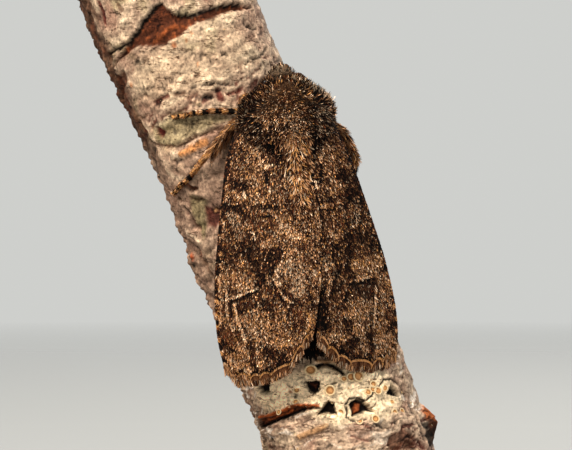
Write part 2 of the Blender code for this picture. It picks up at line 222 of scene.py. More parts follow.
class Mix(Enum):
    """Shares of each hue over a stretch of coat, in hundredths and in the order of Hue."""

    GROUND = (30, 25, 22, 11, 2, 4, 3, 4)
    DARK = (60, 26, 9, 2, 0, 0, 3, 0)
    BLACK = (90, 8, 2, 0, 0, 0, 0, 0)
    BROWN = (14, 46, 26, 5, 0, 4, 5, 0)
    TAN = (8, 14, 22, 32, 9, 3, 3, 9)
    GREY = (10, 15, 20, 20, 7, 27, 0, 1)
    RUFOUS = (18, 24, 18, 10, 1, 1, 24, 4)
    ORANGE = (0, 4, 12, 20, 8, 0, 16, 40)
    PALE = (2, 6, 14, 36, 28, 8, 0, 6)
    WHITE = (0, 0, 0, 20, 60, 20, 0, 0)
    FRINGE = (8, 26, 34, 12, 1, 18, 0, 1)
    COAT = (42, 23, 13, 10, 4, 2, 1, 5)
    TEGULA = (58, 20, 9, 4, 1, 8, 0, 0)
    LEG = (16, 22, 26, 18, 3, 3, 2, 10)
    FROST = (28, 10, 6, 6, 16, 34, 0, 0)
    LINE = (0, 0, 10, 30, 0, 0, 0, 60)
    STREAK = (0, 0, 5, 35, 40, 0, 0, 20)
    TONGUE = (5, 50, 45, 0, 0, 0, 0, 0)

    @property
    def shares(self) -> Array:
        """The share of each hue."""
        return np.array(self.value) / 100

    def rows(self, count: int) -> Array:
        """Rows of this mix alone."""
        return np.tile(self.shares, (count, 1))

    def over(self, weights: Array, share: Array | float) -> Array:
        """Lays this mix over other rows, by a share for each or for all."""
        return blend(weights, self.shares, np.asarray(share)[..., None])


HUES = np.array([linear(hue.value) for hue in Hue])
BY_TONE = np.argsort(HUES.sum(1))


# ---- meshes


@dataclass
class Shell:
    """A stretch of mesh: points in the row frame, faces of three or four corners, and tints."""

    points: Array
    faces: list[Array]
    tint: Array
    unwrap: Array | None = None

    @staticmethod
    def joined(shells: list[Shell]) -> Shell:
        """Several shells as one."""
        starts = np.cumsum([0] + [len(shell.points) for shell in shells])
        faces = [face + start for shell, start in zip(shells, starts) for face in shell.faces]
        unwraps = [shell.unwrap for shell in shells if shell.unwrap is not None]
        points, tint = (np.vstack([getattr(shell, key) for shell in shells]) for key in ("points", "tint"))
        return Shell(points, faces, tint, np.vstack(unwraps) if unwraps else None)


def write_tint(mesh: Mesh, tint: Array) -> None:
    """Gives a mesh its tint attribute, one colour for each point, and smooth faces."""
    layer = mesh.color_attributes.new("tint", "FLOAT_COLOR", "POINT")
    values = np.concatenate([tint, np.ones((len(tint), 1))], 1)
    layer.data.foreach_set("color", values.astype(np.float32).ravel())
    mesh.shade_smooth()


def mesh_of(name: str, shell: Shell) -> Mesh:
    """Writes a shell as a mesh, in metres, with its tint attribute and its unwrap.

    Args:
        name: the mesh's name.
        shell: what it holds.

    Returns:
        The mesh.
    """
    mesh = bpy.data.meshes.new(name)
    corners = np.concatenate([face.ravel() for face in shell.faces]).astype(np.int32)
    counts = np.concatenate([np.full(len(face), face.shape[1]) for face in shell.faces])
    starts = np.concatenate([[0], np.cumsum(counts)[:-1]]).astype(np.int32)
    mesh.vertices.add(len(shell.points))
    mesh.vertices.foreach_set("co", (shell.points * MM).astype(np.float32).ravel())
    mesh.loops.add(len(corners))
    mesh.loops.foreach_set("vertex_index", corners)
    mesh.polygons.add(len(counts))
    mesh.polygons.foreach_set("loop_start", starts)
    mesh.update(calc_edges=True)
    write_tint(mesh, shell.tint)
    if shell.unwrap is not None:
        layer = mesh.uv_layers.new(name="OFBake")
        layer.uv.foreach_set("vector", shell.unwrap[corners].astype(np.float32).ravel())
    return mesh


def linked(name: str, data: bpy.types.ID) -> Object:
    """A new object that stands in the scene."""
    made = bpy.data.objects.new(name, data)
    bpy.context.scene.collection.objects.link(made)
    return made


def place_piece(name: str, shape: Shell | Mesh, material: Material, slot: str, *stands_for: str) -> None:
    """Puts a finished shape into the scene as a piece of the model.

    Args:
        name: the piece's name.
        shape: its shell or its mesh, already in the row frame.
        material: its finish.
        slot: the record's material slot; not used.
        stands_for: the CAD nodes that it replaces.
    """
    mesh = mesh_of(name, shape) if isinstance(shape, Shell) else shape
    mesh.materials.clear()
    mesh.materials.append(material)
    piece = linked(name, mesh)
    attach(piece, "root")
    if stands_for:
        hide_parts(*stands_for)
    LOG.info("%s: %d triangles", name, sum(len(face.vertices) - 2 for face in mesh.polygons))


def final_mesh(source: Object, name: str) -> Mesh:
    """The mesh that an object's modifiers make, under a name of its own. The object is removed."""
    graph = bpy.context.evaluated_depsgraph_get()
    mesh = bpy.data.meshes.new_from_object(source.evaluated_get(graph))
    bpy.data.objects.remove(source)
    mesh.name = name
    return mesh


def grid_faces(rows: int, columns: int, ring: bool = False) -> Array:
    """The quads of a grid of points.

    Args:
        rows: how many rows of points.
        columns: how many points in each row.
        ring: whether each row closes on itself.

    Returns:
        Four corners for each quad.
    """
    row = np.arange(rows - 1)[:, None]
    column = np.arange(columns if ring else columns - 1)[None, :]
    after = (column + 1) % columns
    a, b = row * columns + column, row * columns + after
    return np.stack([a, b, b + columns, a + columns], -1).reshape(-1, 4)


def ring_faces(rings: int, sides: int) -> list[Array]:
    """The faces of a row of rings, closed on the two points that follow them.

    Args:
        rings: how many rings.
        sides: how many points in each.

    Returns:
        The quads between the rings, then the fans at the first ring and at the last.
    """
    side = np.arange(sides)
    after = (side + 1) % sides
    last, count = (rings - 1) * sides, rings * sides
    first = np.stack([after, side, np.full(sides, count)], 1)
    final = np.stack([last + side, last + after, np.full(sides, count + 1)], 1)
    return [grid_faces(rings, sides, ring=True), first, final]


def tube(path: Array, radii: Array, sides: int, tint: Array) -> Shell:
    """A closed tube along a path.

    Args:
        path: its centreline, one point to a row.
        radii: a radius for each point.
        sides: how many sides.
        tint: its colour.

    Returns:
        The tube, with a point at each end.
    """
    ahead = unit(np.gradient(path, axis=0))
    guide = np.array([0.3, 0.2, 0.9])
    frames = []
    for way in ahead:
        guide = unit(guide - way * (guide @ way))
        frames.append((guide, np.cross(way, guide)))
    turns = 2 * np.pi * np.arange(sides) / sides
    first, second = np.moveaxis(np.array(frames), 1, 0)[:, :, None]
    ring = first * np.cos(turns)[None, :, None] + second * np.sin(turns)[None, :, None]
    rings = path[:, None] + ring * np.asarray(radii)[:, None, None]
    ends = path[[0, -1]] + ahead[[0, -1]] * [[-0.6 * radii[0]], [0.6 * radii[-1]]]
    points = np.vstack([rings.reshape(-1, 3), ends])
    return Shell(points, ring_faces(len(path), sides), np.tile(tint, (len(points), 1)))


# ---- tufts


@dataclass(frozen=True)
class TuftShape:
    """The flat outline of a scale or a hair: rows of (share along, half width, points, dip)."""

    rows: tuple[tuple[float, float, int, float], ...]

    def template(self) -> tuple[Array, Array, Array, Array]:
        """Lays out the outline's points.

        Returns:
            Each point's share along, its place across from -1 to 1, its half width, and the
            triangles between the rows.
        """
        along, across, width, faces = [], [], [], []
        start, before = 0, 0
        for share, half, count, dip in self.rows:
            places = np.linspace(-1, 1, count) if count > 1 else np.zeros(1)
            along += list(share - dip * (1 - np.abs(places)))
            across += list(places)
            width += [half] * count
            if before:
                faces += self.strip(start - before, before, start, count)
            start, before = start + count, count
        return np.array(along), np.array(across), np.array(width), np.array(faces)

    @staticmethod
    def strip(low: int, low_count: int, high: int, high_count: int) -> list[tuple[int, ...]]:
        """Triangles between two rows of points, turned to face up.

        Args:
            low: the first point of the row before.
            low_count: how many points it has.
            high: the first point of the row after.
            high_count: how many points that has.

        Returns:
            Three corners for each triangle.
        """
        faces, i, j = [], 0, 0
        while i < low_count - 1 or j < high_count - 1:
            left = (i + 1) / max(low_count - 1, 1) if i < low_count - 1 else 2.0
            right = (j + 1) / max(high_count - 1, 1) if j < high_count - 1 else 2.0
            if left <= right:
                faces.append((low + i, high + j, low + i + 1))
                i += 1
            else:
                faces.append((low + i, high + j, high + j + 1))
                j += 1
        return faces


SCALE = TuftShape(((0.0, 0.3, 2, 0.0), (0.6, 1.0, 2, 0.0), (1.0, 0.66, 3, 0.12)))
HAIR_SCALE = TuftShape(((0.0, 0.35, 2, 0), (0.4, 0.7, 2, 0), (0.78, 1.0, 3, 0), (1.0, 0.55, 2, 0)))
HAIR = TuftShape(((0.0, 0.7, 2, 0), (0.35, 1.0, 2, 0), (0.7, 0.75, 2, 0), (1.0, 0.0, 1, 0)))


@dataclass
class Bed:
    """Places where tufts grow, one to a row, in the row frame."""

    roots: Array
    out: Array
    lie: Array
    unwrap: Array
    weights: Array

    def kept(self, which: Array) -> Bed:
        """The places that which picks out."""
        return Bed(*(values[which] for values in vars(self).values()))


@dataclass(frozen=True)
class TuftSize:
    """How the tufts of one kind are made: sizes in millimetres, slopes and random shares."""

    length: float
    width: float
    lift: float = 0.15
    curl: float = 0.0
    sway: float = 0.1
    spread: float = 0.2
    stray: float = 0.15
    camber: float = 0.25
    # Painted shade: root_shade darkens each tuft towards its root, for the shade between overlapping tufts.
    root_shade: float = 0.3
    bright: float = 0.2
    tip_from: float = 0.25
    clump: float = 0.5
    clump_size: float = 0.3
    tone: float = 0.0


PATCH = 0.003  # how wide a tuft's patch is on its unwrap


def grow(shape: TuftShape, bed: Bed, size: TuftSize, seed: int, scale: Array | float = 1.0) -> Shell:
    """Grows one tuft at each place of a bed.

    Args:
        shape: the tuft's outline.
        bed: where tufts grow, and the hues that each may take.
        size: how large they are and how they lie.
        seed: fixes what is random.
        scale: makes each tuft longer or shorter.

    Returns:
        The tufts, with each one's patch on the unwrap.
    """
    rng = np.random.default_rng(seed)
    count = len(bed.roots)
    u, v, w, faces = shape.template()
    across = unit(np.cross(bed.out, bed.lie))
    lie = unit(bed.lie + across * rng.normal(0, size.stray, (count, 1)))
    across = unit(np.cross(bed.out, lie))
    out = np.cross(lie, across)
    length = size.length * np.clip(rng.normal(1, size.spread, count), 0.5, 1.6) * scale
    width = size.width / 2 * np.clip(rng.normal(1, size.spread * 0.7, count), 0.5, 1.6)
    lift = size.lift * np.clip(rng.normal(1, 0.5, count), 0.1, 2.6)
    sway = rng.normal(0, size.sway, count)
    length, width, lift, sway = (values[:, None] for values in (length, width, lift, sway))
    up = length * (lift * u + size.curl * u**2) - size.camber * width * (v**2) * w
    side = width * v * w + sway * length * u**2
    points = bed.roots[:, None] + lie[:, None] * (length * u)[..., None]
    points = points + out[:, None] * up[..., None] + across[:, None] * side[..., None]
    clumped = mottle(bed.roots, size.clump_size, seed, 2)
    chance = size.clump * clumped + (1 - size.clump) * rng.normal(0, 0.8, count)
    chance = (np.argsort(np.argsort(chance)) + 0.5) / count
    odds = np.cumsum(bed.weights[:, BY_TONE], 1)
    hue = BY_TONE[(chance[:, None] * odds[:, -1:] > odds).sum(1).clip(0, len(HUES) - 1)]
    tip = HUES[hue] * np.exp(rng.normal(0, size.bright, (count, 1)))
    level = (bed.weights @ HUES).mean(1, keepdims=True) / (Mix.GROUND.shares @ HUES).mean()
    tip = tip * np.where(level > 1, level ** (size.tone * 0.3), level**size.tone)
    # Painted shade: each tuft's tint runs from root_shade at its root up to full brightness at its tip.
    shade = blend(size.root_shade, 1.0, smooth(0, size.tip_from * 2 + 0.15, u))
    tint = tip[:, None] * shade[None, :, None]
    unwrap = bed.unwrap[:, None] + np.stack([v * 0.5, u - 0.5], -1)[None] * PATCH
    faces = faces[None] + (np.arange(count) * len(u))[:, None, None]
    return Shell(points.reshape(-1, 3), [faces.reshape(-1, 3)], tint.reshape(-1, 3), unwrap.reshape(-1, 2))


# ---- the moth's own frame


PERCH_MIDDLE_HEIGHT = 26.5


def turn_about(axis: str, degrees: float) -> Array:
    """A rotation by some degrees about X or Y, as three rows."""
    return np.array(Matrix.Rotation(math.radians(degrees), 3, axis))


@dataclass(frozen=True)
class BodyFrame:
    """Where the moth's body frame lies in the row frame."""

    centre: tuple[float, float, float] = (0.0, -7.4, PERCH_MIDDLE_HEIGHT + 6.56)
    tilt: float = 6.0
    pitch: float = 5.0
    roll: float = 6.0

    def axes(self) -> Array:
        """The rotation from body to row, as a 3 by 3 matrix."""
        return turn_about("Y", -self.tilt) @ turn_about("X", 90 + self.pitch) @ turn_about("Y", self.roll)

    def out(self, points: Array) -> Array:
        """Turns body points into row points."""
        return points @ self.axes().T + np.array(self.centre)

    def back(self, points: Array) -> Array:
        """Turns row points into body points."""
        return (points - np.array(self.centre)) @ self.axes()

    def bed(self, roots: Array, out: Array, lie: Array, unwrap: Array, weights: Array) -> Bed:
        """A bed for tufts from places and ways in the body frame."""
        turn = self.axes().T
        return Bed(self.out(roots), out @ turn, lie @ turn, unwrap, weights)


BODY = BodyFrame()


@dataclass(frozen=True)
class Roof:
    """The low roof that the folded wings form over the body."""

    ridge: float = 2.95
    drop: float = 0.0092
    turn: float = -2.5
    fall: tuple[float, float] = (2.45, 0.04)
    width: tuple[float, float, float] = (5.8, 2.65, 5.5)
    crown: float = 0.02
    curve: float = 0.58

    def height(self, x: Array, y: Array) -> Array:
        """Height of the wings' upper side over places beside the midline.

        Args:
            x: how far to the side.
            y: how far to the head.

        Returns:
            The height in the body frame.
        """
        ridge = self.ridge - self.drop * np.minimum(0.0, y - self.turn) ** 2
        widest, less, length = self.width
        share = np.abs(x) / (widest - less * np.exp(np.minimum(y, 0.0) / length))
        straight = np.sqrt(share**2 + self.crown) - math.sqrt(self.crown)
        fall = (1 - self.curve) * straight + self.curve * share**2
        return ridge - (self.fall[0] - self.fall[1] * y) * fall


ROOF = Roof()


# ---- markings


@dataclass(frozen=True)
class Mark:
    """A stretch of coat with its own mix of hues, along a route of (x, y) in a plan."""

    mix: Mix
    route: Array
    width: float
    strength: float = 0.85
    soft: float = 0.07
    wobble: float = 0.12
    hollow: float = 0.0

    def cover(self, points: Array, sway: Array) -> Array:
        """How much of each place the mark takes, from 0 to 1."""
        away = distance_to(self.route, points + sway * self.wobble)
        half, inner = self.width / 2, self.hollow / 2
        share = 1 - smooth(half - self.soft, half + self.soft, away)
        if inner:
            share = share * smooth(inner - self.soft, inner + self.soft, away)
        return share * self.strength


def marks_of(table: str) -> tuple[Mark, ...]:
    """Marks from lines of "mix: route: width strength soft wobble hollow"."""
    return tuple(Mark(Mix[name], route, *sizes) for name, route, sizes in rows_of(table))


def paint(points: Array, marks: tuple[Mark, ...], seed: int) -> Array:
    """Lays marks over the wing's ground.

    Args:
        points: places in the plan, two numbers each.
        marks: the marks, the first one lowest.
        seed: which mottling.

    Returns:
        The share of each hue at each place.
    """
    sway = mottles(points, 0.5, (seed, seed + 9))
    cloud = mottle(points, (1.1, 1.4, 1), seed + 20) + 0.7 * mottle(points, 0.33, seed + 30, 2)
    dark, light = smooth(0.25, 1.3, -cloud), smooth(0.25, 1.3, cloud)
    weights = Mix.TAN.over(Mix.DARK.over(Mix.GROUND.rows(len(points)), 0.4 * dark), 0.25 * light)
    for mark in marks:
        weights = mark.mix.over(weights, mark.cover(points, sway))
    return Mix.TAN.over(Mix.DARK.over(weights, 0.18 * dark), 0.1 * light)


WING_MARKS = marks_of("""
DARK: 3.4 -0.3, 4.2 -3.6, 5 -7: 0.36 0.6
TAN: 4.35 -3.6, 4.85 -7, 5.35 -9.6: 0.16 0.6 0.05
TAN: 2.2 -2.6, 2.7 -3.6: 0.9 0.4 0.3
PALE: 1.86 -2.14, 1.55 -2.5: 0.3 0.7 0.1
BLACK: 1.71 -2.78, 1.73 -3.47: 0.2 0.9 0.06
DARK: 3.57 -3.45, 2.93 -3.69: 0.55 0.85 0.12
TAN: 3.53 -3.96, 3.29 -4.29: 0.36 0.85 0.08
TAN: 2.58 -4.03, 2.3 -4.62: 0.5 0.7 0.12
DARK: 4.39 -4.54, 3.9 -4.85, 3.42 -4.91, 3.04 -5.44: 0.36 0.85 0.1
DARK: 2.5 -4.86, 1.4 -5.13, 0.8 -5.5: 0.34 0.7 0.12
TAN: 2.3 -5.3, 1.75 -5.23, 0.8 -5.85: 0.22 0.75 0.06
BLACK: 2.35 -5.6, 1.79 -5.6: 0.14 0.8 0.04
GREY: 0.9 -3.4, 1.3 -4.4: 0.8 0.35 0.3
TAN: 1.2 -5.8, 0.9 -6.5: 0.9 0.45 0.25
DARK: 3.9 -5.35, 3.6 -6.8: 0.98 0.85 0.08 0.08
GREY: 3.9 -5.45, 3.62 -6.7: 0.66 0.6 0.06 0.08
TAN: 3.9 -5.4, 3.62 -6.75: 0.7 0.6 0.04 0.08 0.5
RUFOUS: 2.7 -6.1, 2.2 -7: 0.7 0.4 0.3
TAN: 0.75 -6.83, 0.2 -7.2: 0.6 0.7 0.15
TAN: 2.39 -7.33, 1.84 -7.18: 0.5 0.7 0.12
TAN: 1.15 -7.88, 0.41 -8.2: 0.7 0.6 0.15
DARK: 5.3 -7.3, 4.3 -7.8, 3.2 -7.7, 2.5 -8.3, 1.6 -8.1: 0.95 0.55 0.3 0.25
BLACK: 5.2 -8.1, 4.7 -8.4: 0.5 0.5 0.15
BLACK: 5.3 -9, 5.25 -8.6: 0.36 0.8 0.1
DARK: 3.05 -8.5, 2.75 -9.2, 3 -9.9: 0.5 0.85 0.12
TAN: 5.4 -9.2, 5.48 -10.8, 5.55 -12: 0.5 0.65 0.1
BLACK: 5.48 -9.99: 0.4 0.8 0.1
TAN: 4.7 -9.45, 3.7 -9.72: 1.1 0.7 0.1 0.08
GREY: 3.5 -9.65: 0.56 0.6 0.12
ORANGE: 4.4 -9.3: 0.36 0.9 0.03 0 0.18
DARK: 4.66 -11.45, 4.68 -10.75, 3.07 -10.75, 3.02 -11.4, 4.5 -11.4: 0.4 0.55 0.1
BROWN: 4.2 -11.1, 3.5 -11.1: 0.4 0.6 0.12
GREY: 3.6 -11.9, 3.3 -13.6: 0.8 0.5 0.25 0.3
TAN: 2.2 -12.4, 1.7 -13.3: 0.6 0.45 0.2 0.3
TAN: 4.31 -12.06, 3.24 -12.3: 0.6 0.8 0.12
DARK: 4.72 -10.2, 4.76 -11.8: 0.12 0.8 0.03 0.03
PALE: 4.9 -9.95, 4.94 -10.86, 5.03 -12.03: 0.13 0.8 0.03 0.05
DARK: 1.9 -8, 2 -8.9, 2.3 -9.4: 0.4 0.8 0.1
GREY: 1.3 -8.9, 0.3 -9.15, 0.6 -10.3: 0.95 0.85 0.15
DARK: 2 -9.6, 1.85 -10.4, 1.5 -11.1: 0.34 0.85 0.08
DARK: 0.7 -8.9, 0.55 -8.75: 0.16 0.8 0.04
DARK: 0.95 -10.9, 0.9 -11.9, 0.75 -12.6: 0.5 0.75 0.12
RUFOUS: 0.83 -11.62, 0.68 -12.74: 0.45 0.7 0.15
DARK: 2.6 -11.1, 2.4 -12: 0.5 0.7 0.15
TAN: 3 -11.9, 2.6 -13.3: 0.9 0.6 0.25 0.3
DARK: 4.4 -11.2, 4.2 -12.84: 0.2 0.5 0.05 0
STREAK: 4.56 -11, 4.43 -12.05, 4.28 -12.84, 4.15 -13.6: 0.15 1 0.01 0
STREAK: 5 -12.4, 4.8 -12.8: 0.1 0.9 0.02 0.02
RUFOUS: 5.27 -12.95, 4.7 -13.6: 0.8 0.8 0.2
DARK: 5.5 -13.6, 4.9 -14.1: 0.45 0.8 0.12 0.2
TAN: 4.52 -13.83, 4.2 -14.5: 0.5 0.8 0.12
DARK: 3.95 -13.9, 3.75 -14.7: 0.34 0.8 0.1
TAN: 3.55 -14.32, 3.3 -15.1: 0.42 0.85 0.12
DARK: 2.95 -14.15, 1.88 -14.75: 0.75 0.85 0.15
TAN: 2.7 -13.5, 2.1 -13.9, 1.5 -13.6, 0.8 -14: 0.34 0.75 0.12
DARK: 4.27 -14.83, 3.71 -15.38: 0.45 0.85 0.12
TAN: 4.95 -14.9, 4.5 -15.4: 1.2 1 0.15
DARK: 3.2 -15.5, 2.6 -15.2: 0.3 0.6 0.1
""")
# In LEFT_MARKS, the BLACK line along the inner edge, from -0.85 -3 to -0.98 -9.2, is painted shadow at the
# edge where this wing lies over the other.
LEFT_MARKS = marks_of("""
PALE: 0.5 -8.64, 0.84 -8.45, 1.26 -8.48, 1.6 -8.75, 1.8 -9.22, 1.88 -9.73, 1.72 -10.39, 1.44 -10.86,\
0.98 -11.16: 0.15 0.95 0.03 0.04
DARK: 0.4 -8.45, 0.84 -8.25, 1.36 -8.28, 1.78 -8.6, 2.02 -9.2, 2.08 -9.75, 1.92 -10.5,\
1.56 -11.05: 0.12 0.6 0.04 0.05
PALE: 1.95 -9.47, 2.24 -9.77, 2.62 -9.94: 0.12 0.8 0.04 0.05
PALE: 2.99 -10.11, 3.49 -10.27, 4.12 -10.5, 4.75 -10.67: 0.14 0.9 0.03 0.04
BLACK: 3 -10.3, 3.6 -10.48, 4.12 -10.7, 4.6 -10.85: 0.22 0.9 0.04 0.04
BLACK: -0.85 -3, -1.3 -6, -0.98 -9.2: 0.14 0.85 0.04 0.03
ORANGE: -0.05 -11.9, 0.05 -12.6, 0.3 -13.4: 0.26 0.8 0.08
BLACK: -0.1 -10.9, -0.2 -11.6: 0.3 0.7 0.1
WHITE: -1.08 -3.7, -1.12 -4.1: 0.14 1 0.03 0
WHITE: 1.61 -3.8, 1.62 -4.1: 0.1 1 0.03 0
WHITE: 3.09 -3.95, 3.05 -4.25: 0.13 1 0.03 0
WHITE: 1.25 -6.1, 1.1 -6.45: 0.09 1 0.03 0
WHITE: 2.88 -6.5, 2.78 -6.9: 0.09 1 0.03 0
WHITE: -0.5 -9.3, -0.52 -9.6: 0.12 1 0.03 0
WHITE: 1.75 -9.3, 1.6 -10: 0.08 1 0.03 0
""")
# In RIGHT_MARKS, the broad BLACK stretch along the inner edge, from 0.35 -9.8 to 0.72 -12.8, is painted
# shadow cast by the left wing's edge.
RIGHT_MARKS = marks_of("""
PALE: 0.8 -8.7, 1.09 -8.8, 1.37 -9.33, 1.51 -9.93, 1.45 -10.56, 1.21 -10.98: 0.13 0.7 0.04 0.05
PALE: 1.65 -9.94, 2.03 -10.14, 2.56 -10.3: 0.12 0.7 0.04 0.05
PALE: 2.9 -10.32, 3.6 -10.35, 4.3 -10.25: 0.13 0.95 0.03 0.04
BLACK: 2.8 -10.52, 3.57 -10.56, 4.2 -10.5: 0.22 0.95 0.04 0.04
BLACK: 0.35 -9.8, 0.6 -11.2, 0.72 -12.8: 0.95 0.88 0.3 0.15
DARK: 3.26 -3.49, 3.66 -5.2: 0.5 0.8 0.12
DARK: 4.01 -3.98, 4.35 -5.75: 0.4 0.8 0.12
DARK: 3.05 -7.47, 3.06 -8.44: 0.55 0.8 0.15
TAN: 4.51 -9.46, 4.86 -10.71, 4.83 -12.03: 0.3 0.8 0.08
ORANGE: 3.2 -9.3, 4 -9.6: 0.6 0.5 0.15
DARK: 2.31 -12.72, 2.4 -13.4: 0.5 0.8 0.12
PALE: 3.3 -12.4, 3.49 -13.2: 0.14 0.8 0.05
TAN: 4.9 -12.2, 4.6 -14.6: 0.7 0.6 0.2
TAN: 3.1 -12, 3.2 -14.5: 0.5 0.5 0.2
WHITE: 2.93 -4.1, 2.95 -4.35: 0.11 1 0.03 0
""")
COAT_MARKS = marks_of("""
RUFOUS: 0 2.05, -0.1 1.6: 0.9 0.5 0.3
FROST: -0.6 2.9, 0 3.4, 0.7 2.95: 0.75 1 0.2
FROST: 0.8 2.7, 1.9 1.95, 2.9 1: 0.7 1 0.15
FROST: 1.9 0.6, 1.9 -0.6: 0.5 0.45 0.2
BLACK: -0.9 2.9, -2 1.9, -3 0.9: 0.5 0.55 0.15
BLACK: 0.9 2.2, 2.1 1.3: 0.35 0.45 0.15
TAN: 2.9 0.95, 3.05 0.4: 0.5 0.7 0.15
ORANGE: -3.15 0.75, -3 0.35: 0.3 0.9 0.1
GREY: -0.1 0.4, 0.4 -0.4: 0.9 0.5 0.3
TAN: -0.9 0.9, -1.5 0.4: 0.6 0.4 0.25
TAN: -0.2 -0.9, 0.2 -2.4, 0.4 -3.4: 0.9 0.6 0.3
BLACK: 1.5 0.9, 1.7 0, 1.5 -0.9: 0.6 0.35 0.3
BLACK: -1.1 -1.3, -1.1 -2.3: 0.8 1 0.15
BLACK: 1.4 -1.3, 1.35 -2.3: 0.75 1 0.15
PALE: 0.6 -1.05, 1.05 -1.4: 0.12 0.8 0.05
""")


# ---- wings


class Side(Enum):
    """A side of the moth, with its sign along the body's X."""

    LEFT = -1
    RIGHT = 1

    @property
    def word(self) -> str:
        """The side's name, as node names have it."""
        return self.name.lower()


def plan_between(inner: Array, outer: Array, end: Array, along: Array, across: Array) -> Array:
    """Places within a wing's smooth edges.

    Args:
        inner: the inner edge, from root to end.
        outer: the outer edge, likewise.
        end: the edge between their ends.
        along: shares from root to end.
        across: shares from the inner edge to the outer.

    Returns:
        The (x, y) of each place.
    """
    aside, ahead = across[..., None], along[..., None]
    root, far = blend(inner[0], outer[0], aside), blend(end[0], end[-1], aside)
    sides = blend(read(inner, along), read(outer, along), aside)
    ends = blend(root, read(end, across), ahead)
    return sides + ends - blend(root, far, ahead)


def blade_shell(upper: Array, thick: float, columns: int, tints: tuple[Array, Array], side: Side) -> Shell:
    """A thin closed blade under a grid of points.

    Args:
        upper: its upper side in the body frame, row after row.
        thick: how thick it is.
        columns: how many points each row has.
        tints: the colours of the upper and the lower side.
        side: whose wing it is, which turns the faces.

    Returns:
        The blade in the row frame.
    """
    count = len(upper)
    rows = count // columns
    faces = grid_faces(rows, columns)
    rim = [np.arange(columns), np.arange(1, rows) * columns + columns - 1]
    rim += [(rows - 1) * columns + np.arange(columns - 2, -1, -1), np.arange(rows - 2, 0, -1) * columns]
    rim = np.concatenate(rim)
    after = np.roll(rim, -1)
    wall = np.stack([rim, after, count + after, count + rim], 1)
    faces = [faces[:, ::-1], faces + count, wall[:, ::-1]]
    if side is Side.LEFT:
        faces = [face[:, ::-1] for face in faces]
    return Shell(BODY.out(np.vstack([upper, upper - [0, 0, thick]])), faces, np.vstack(tints))


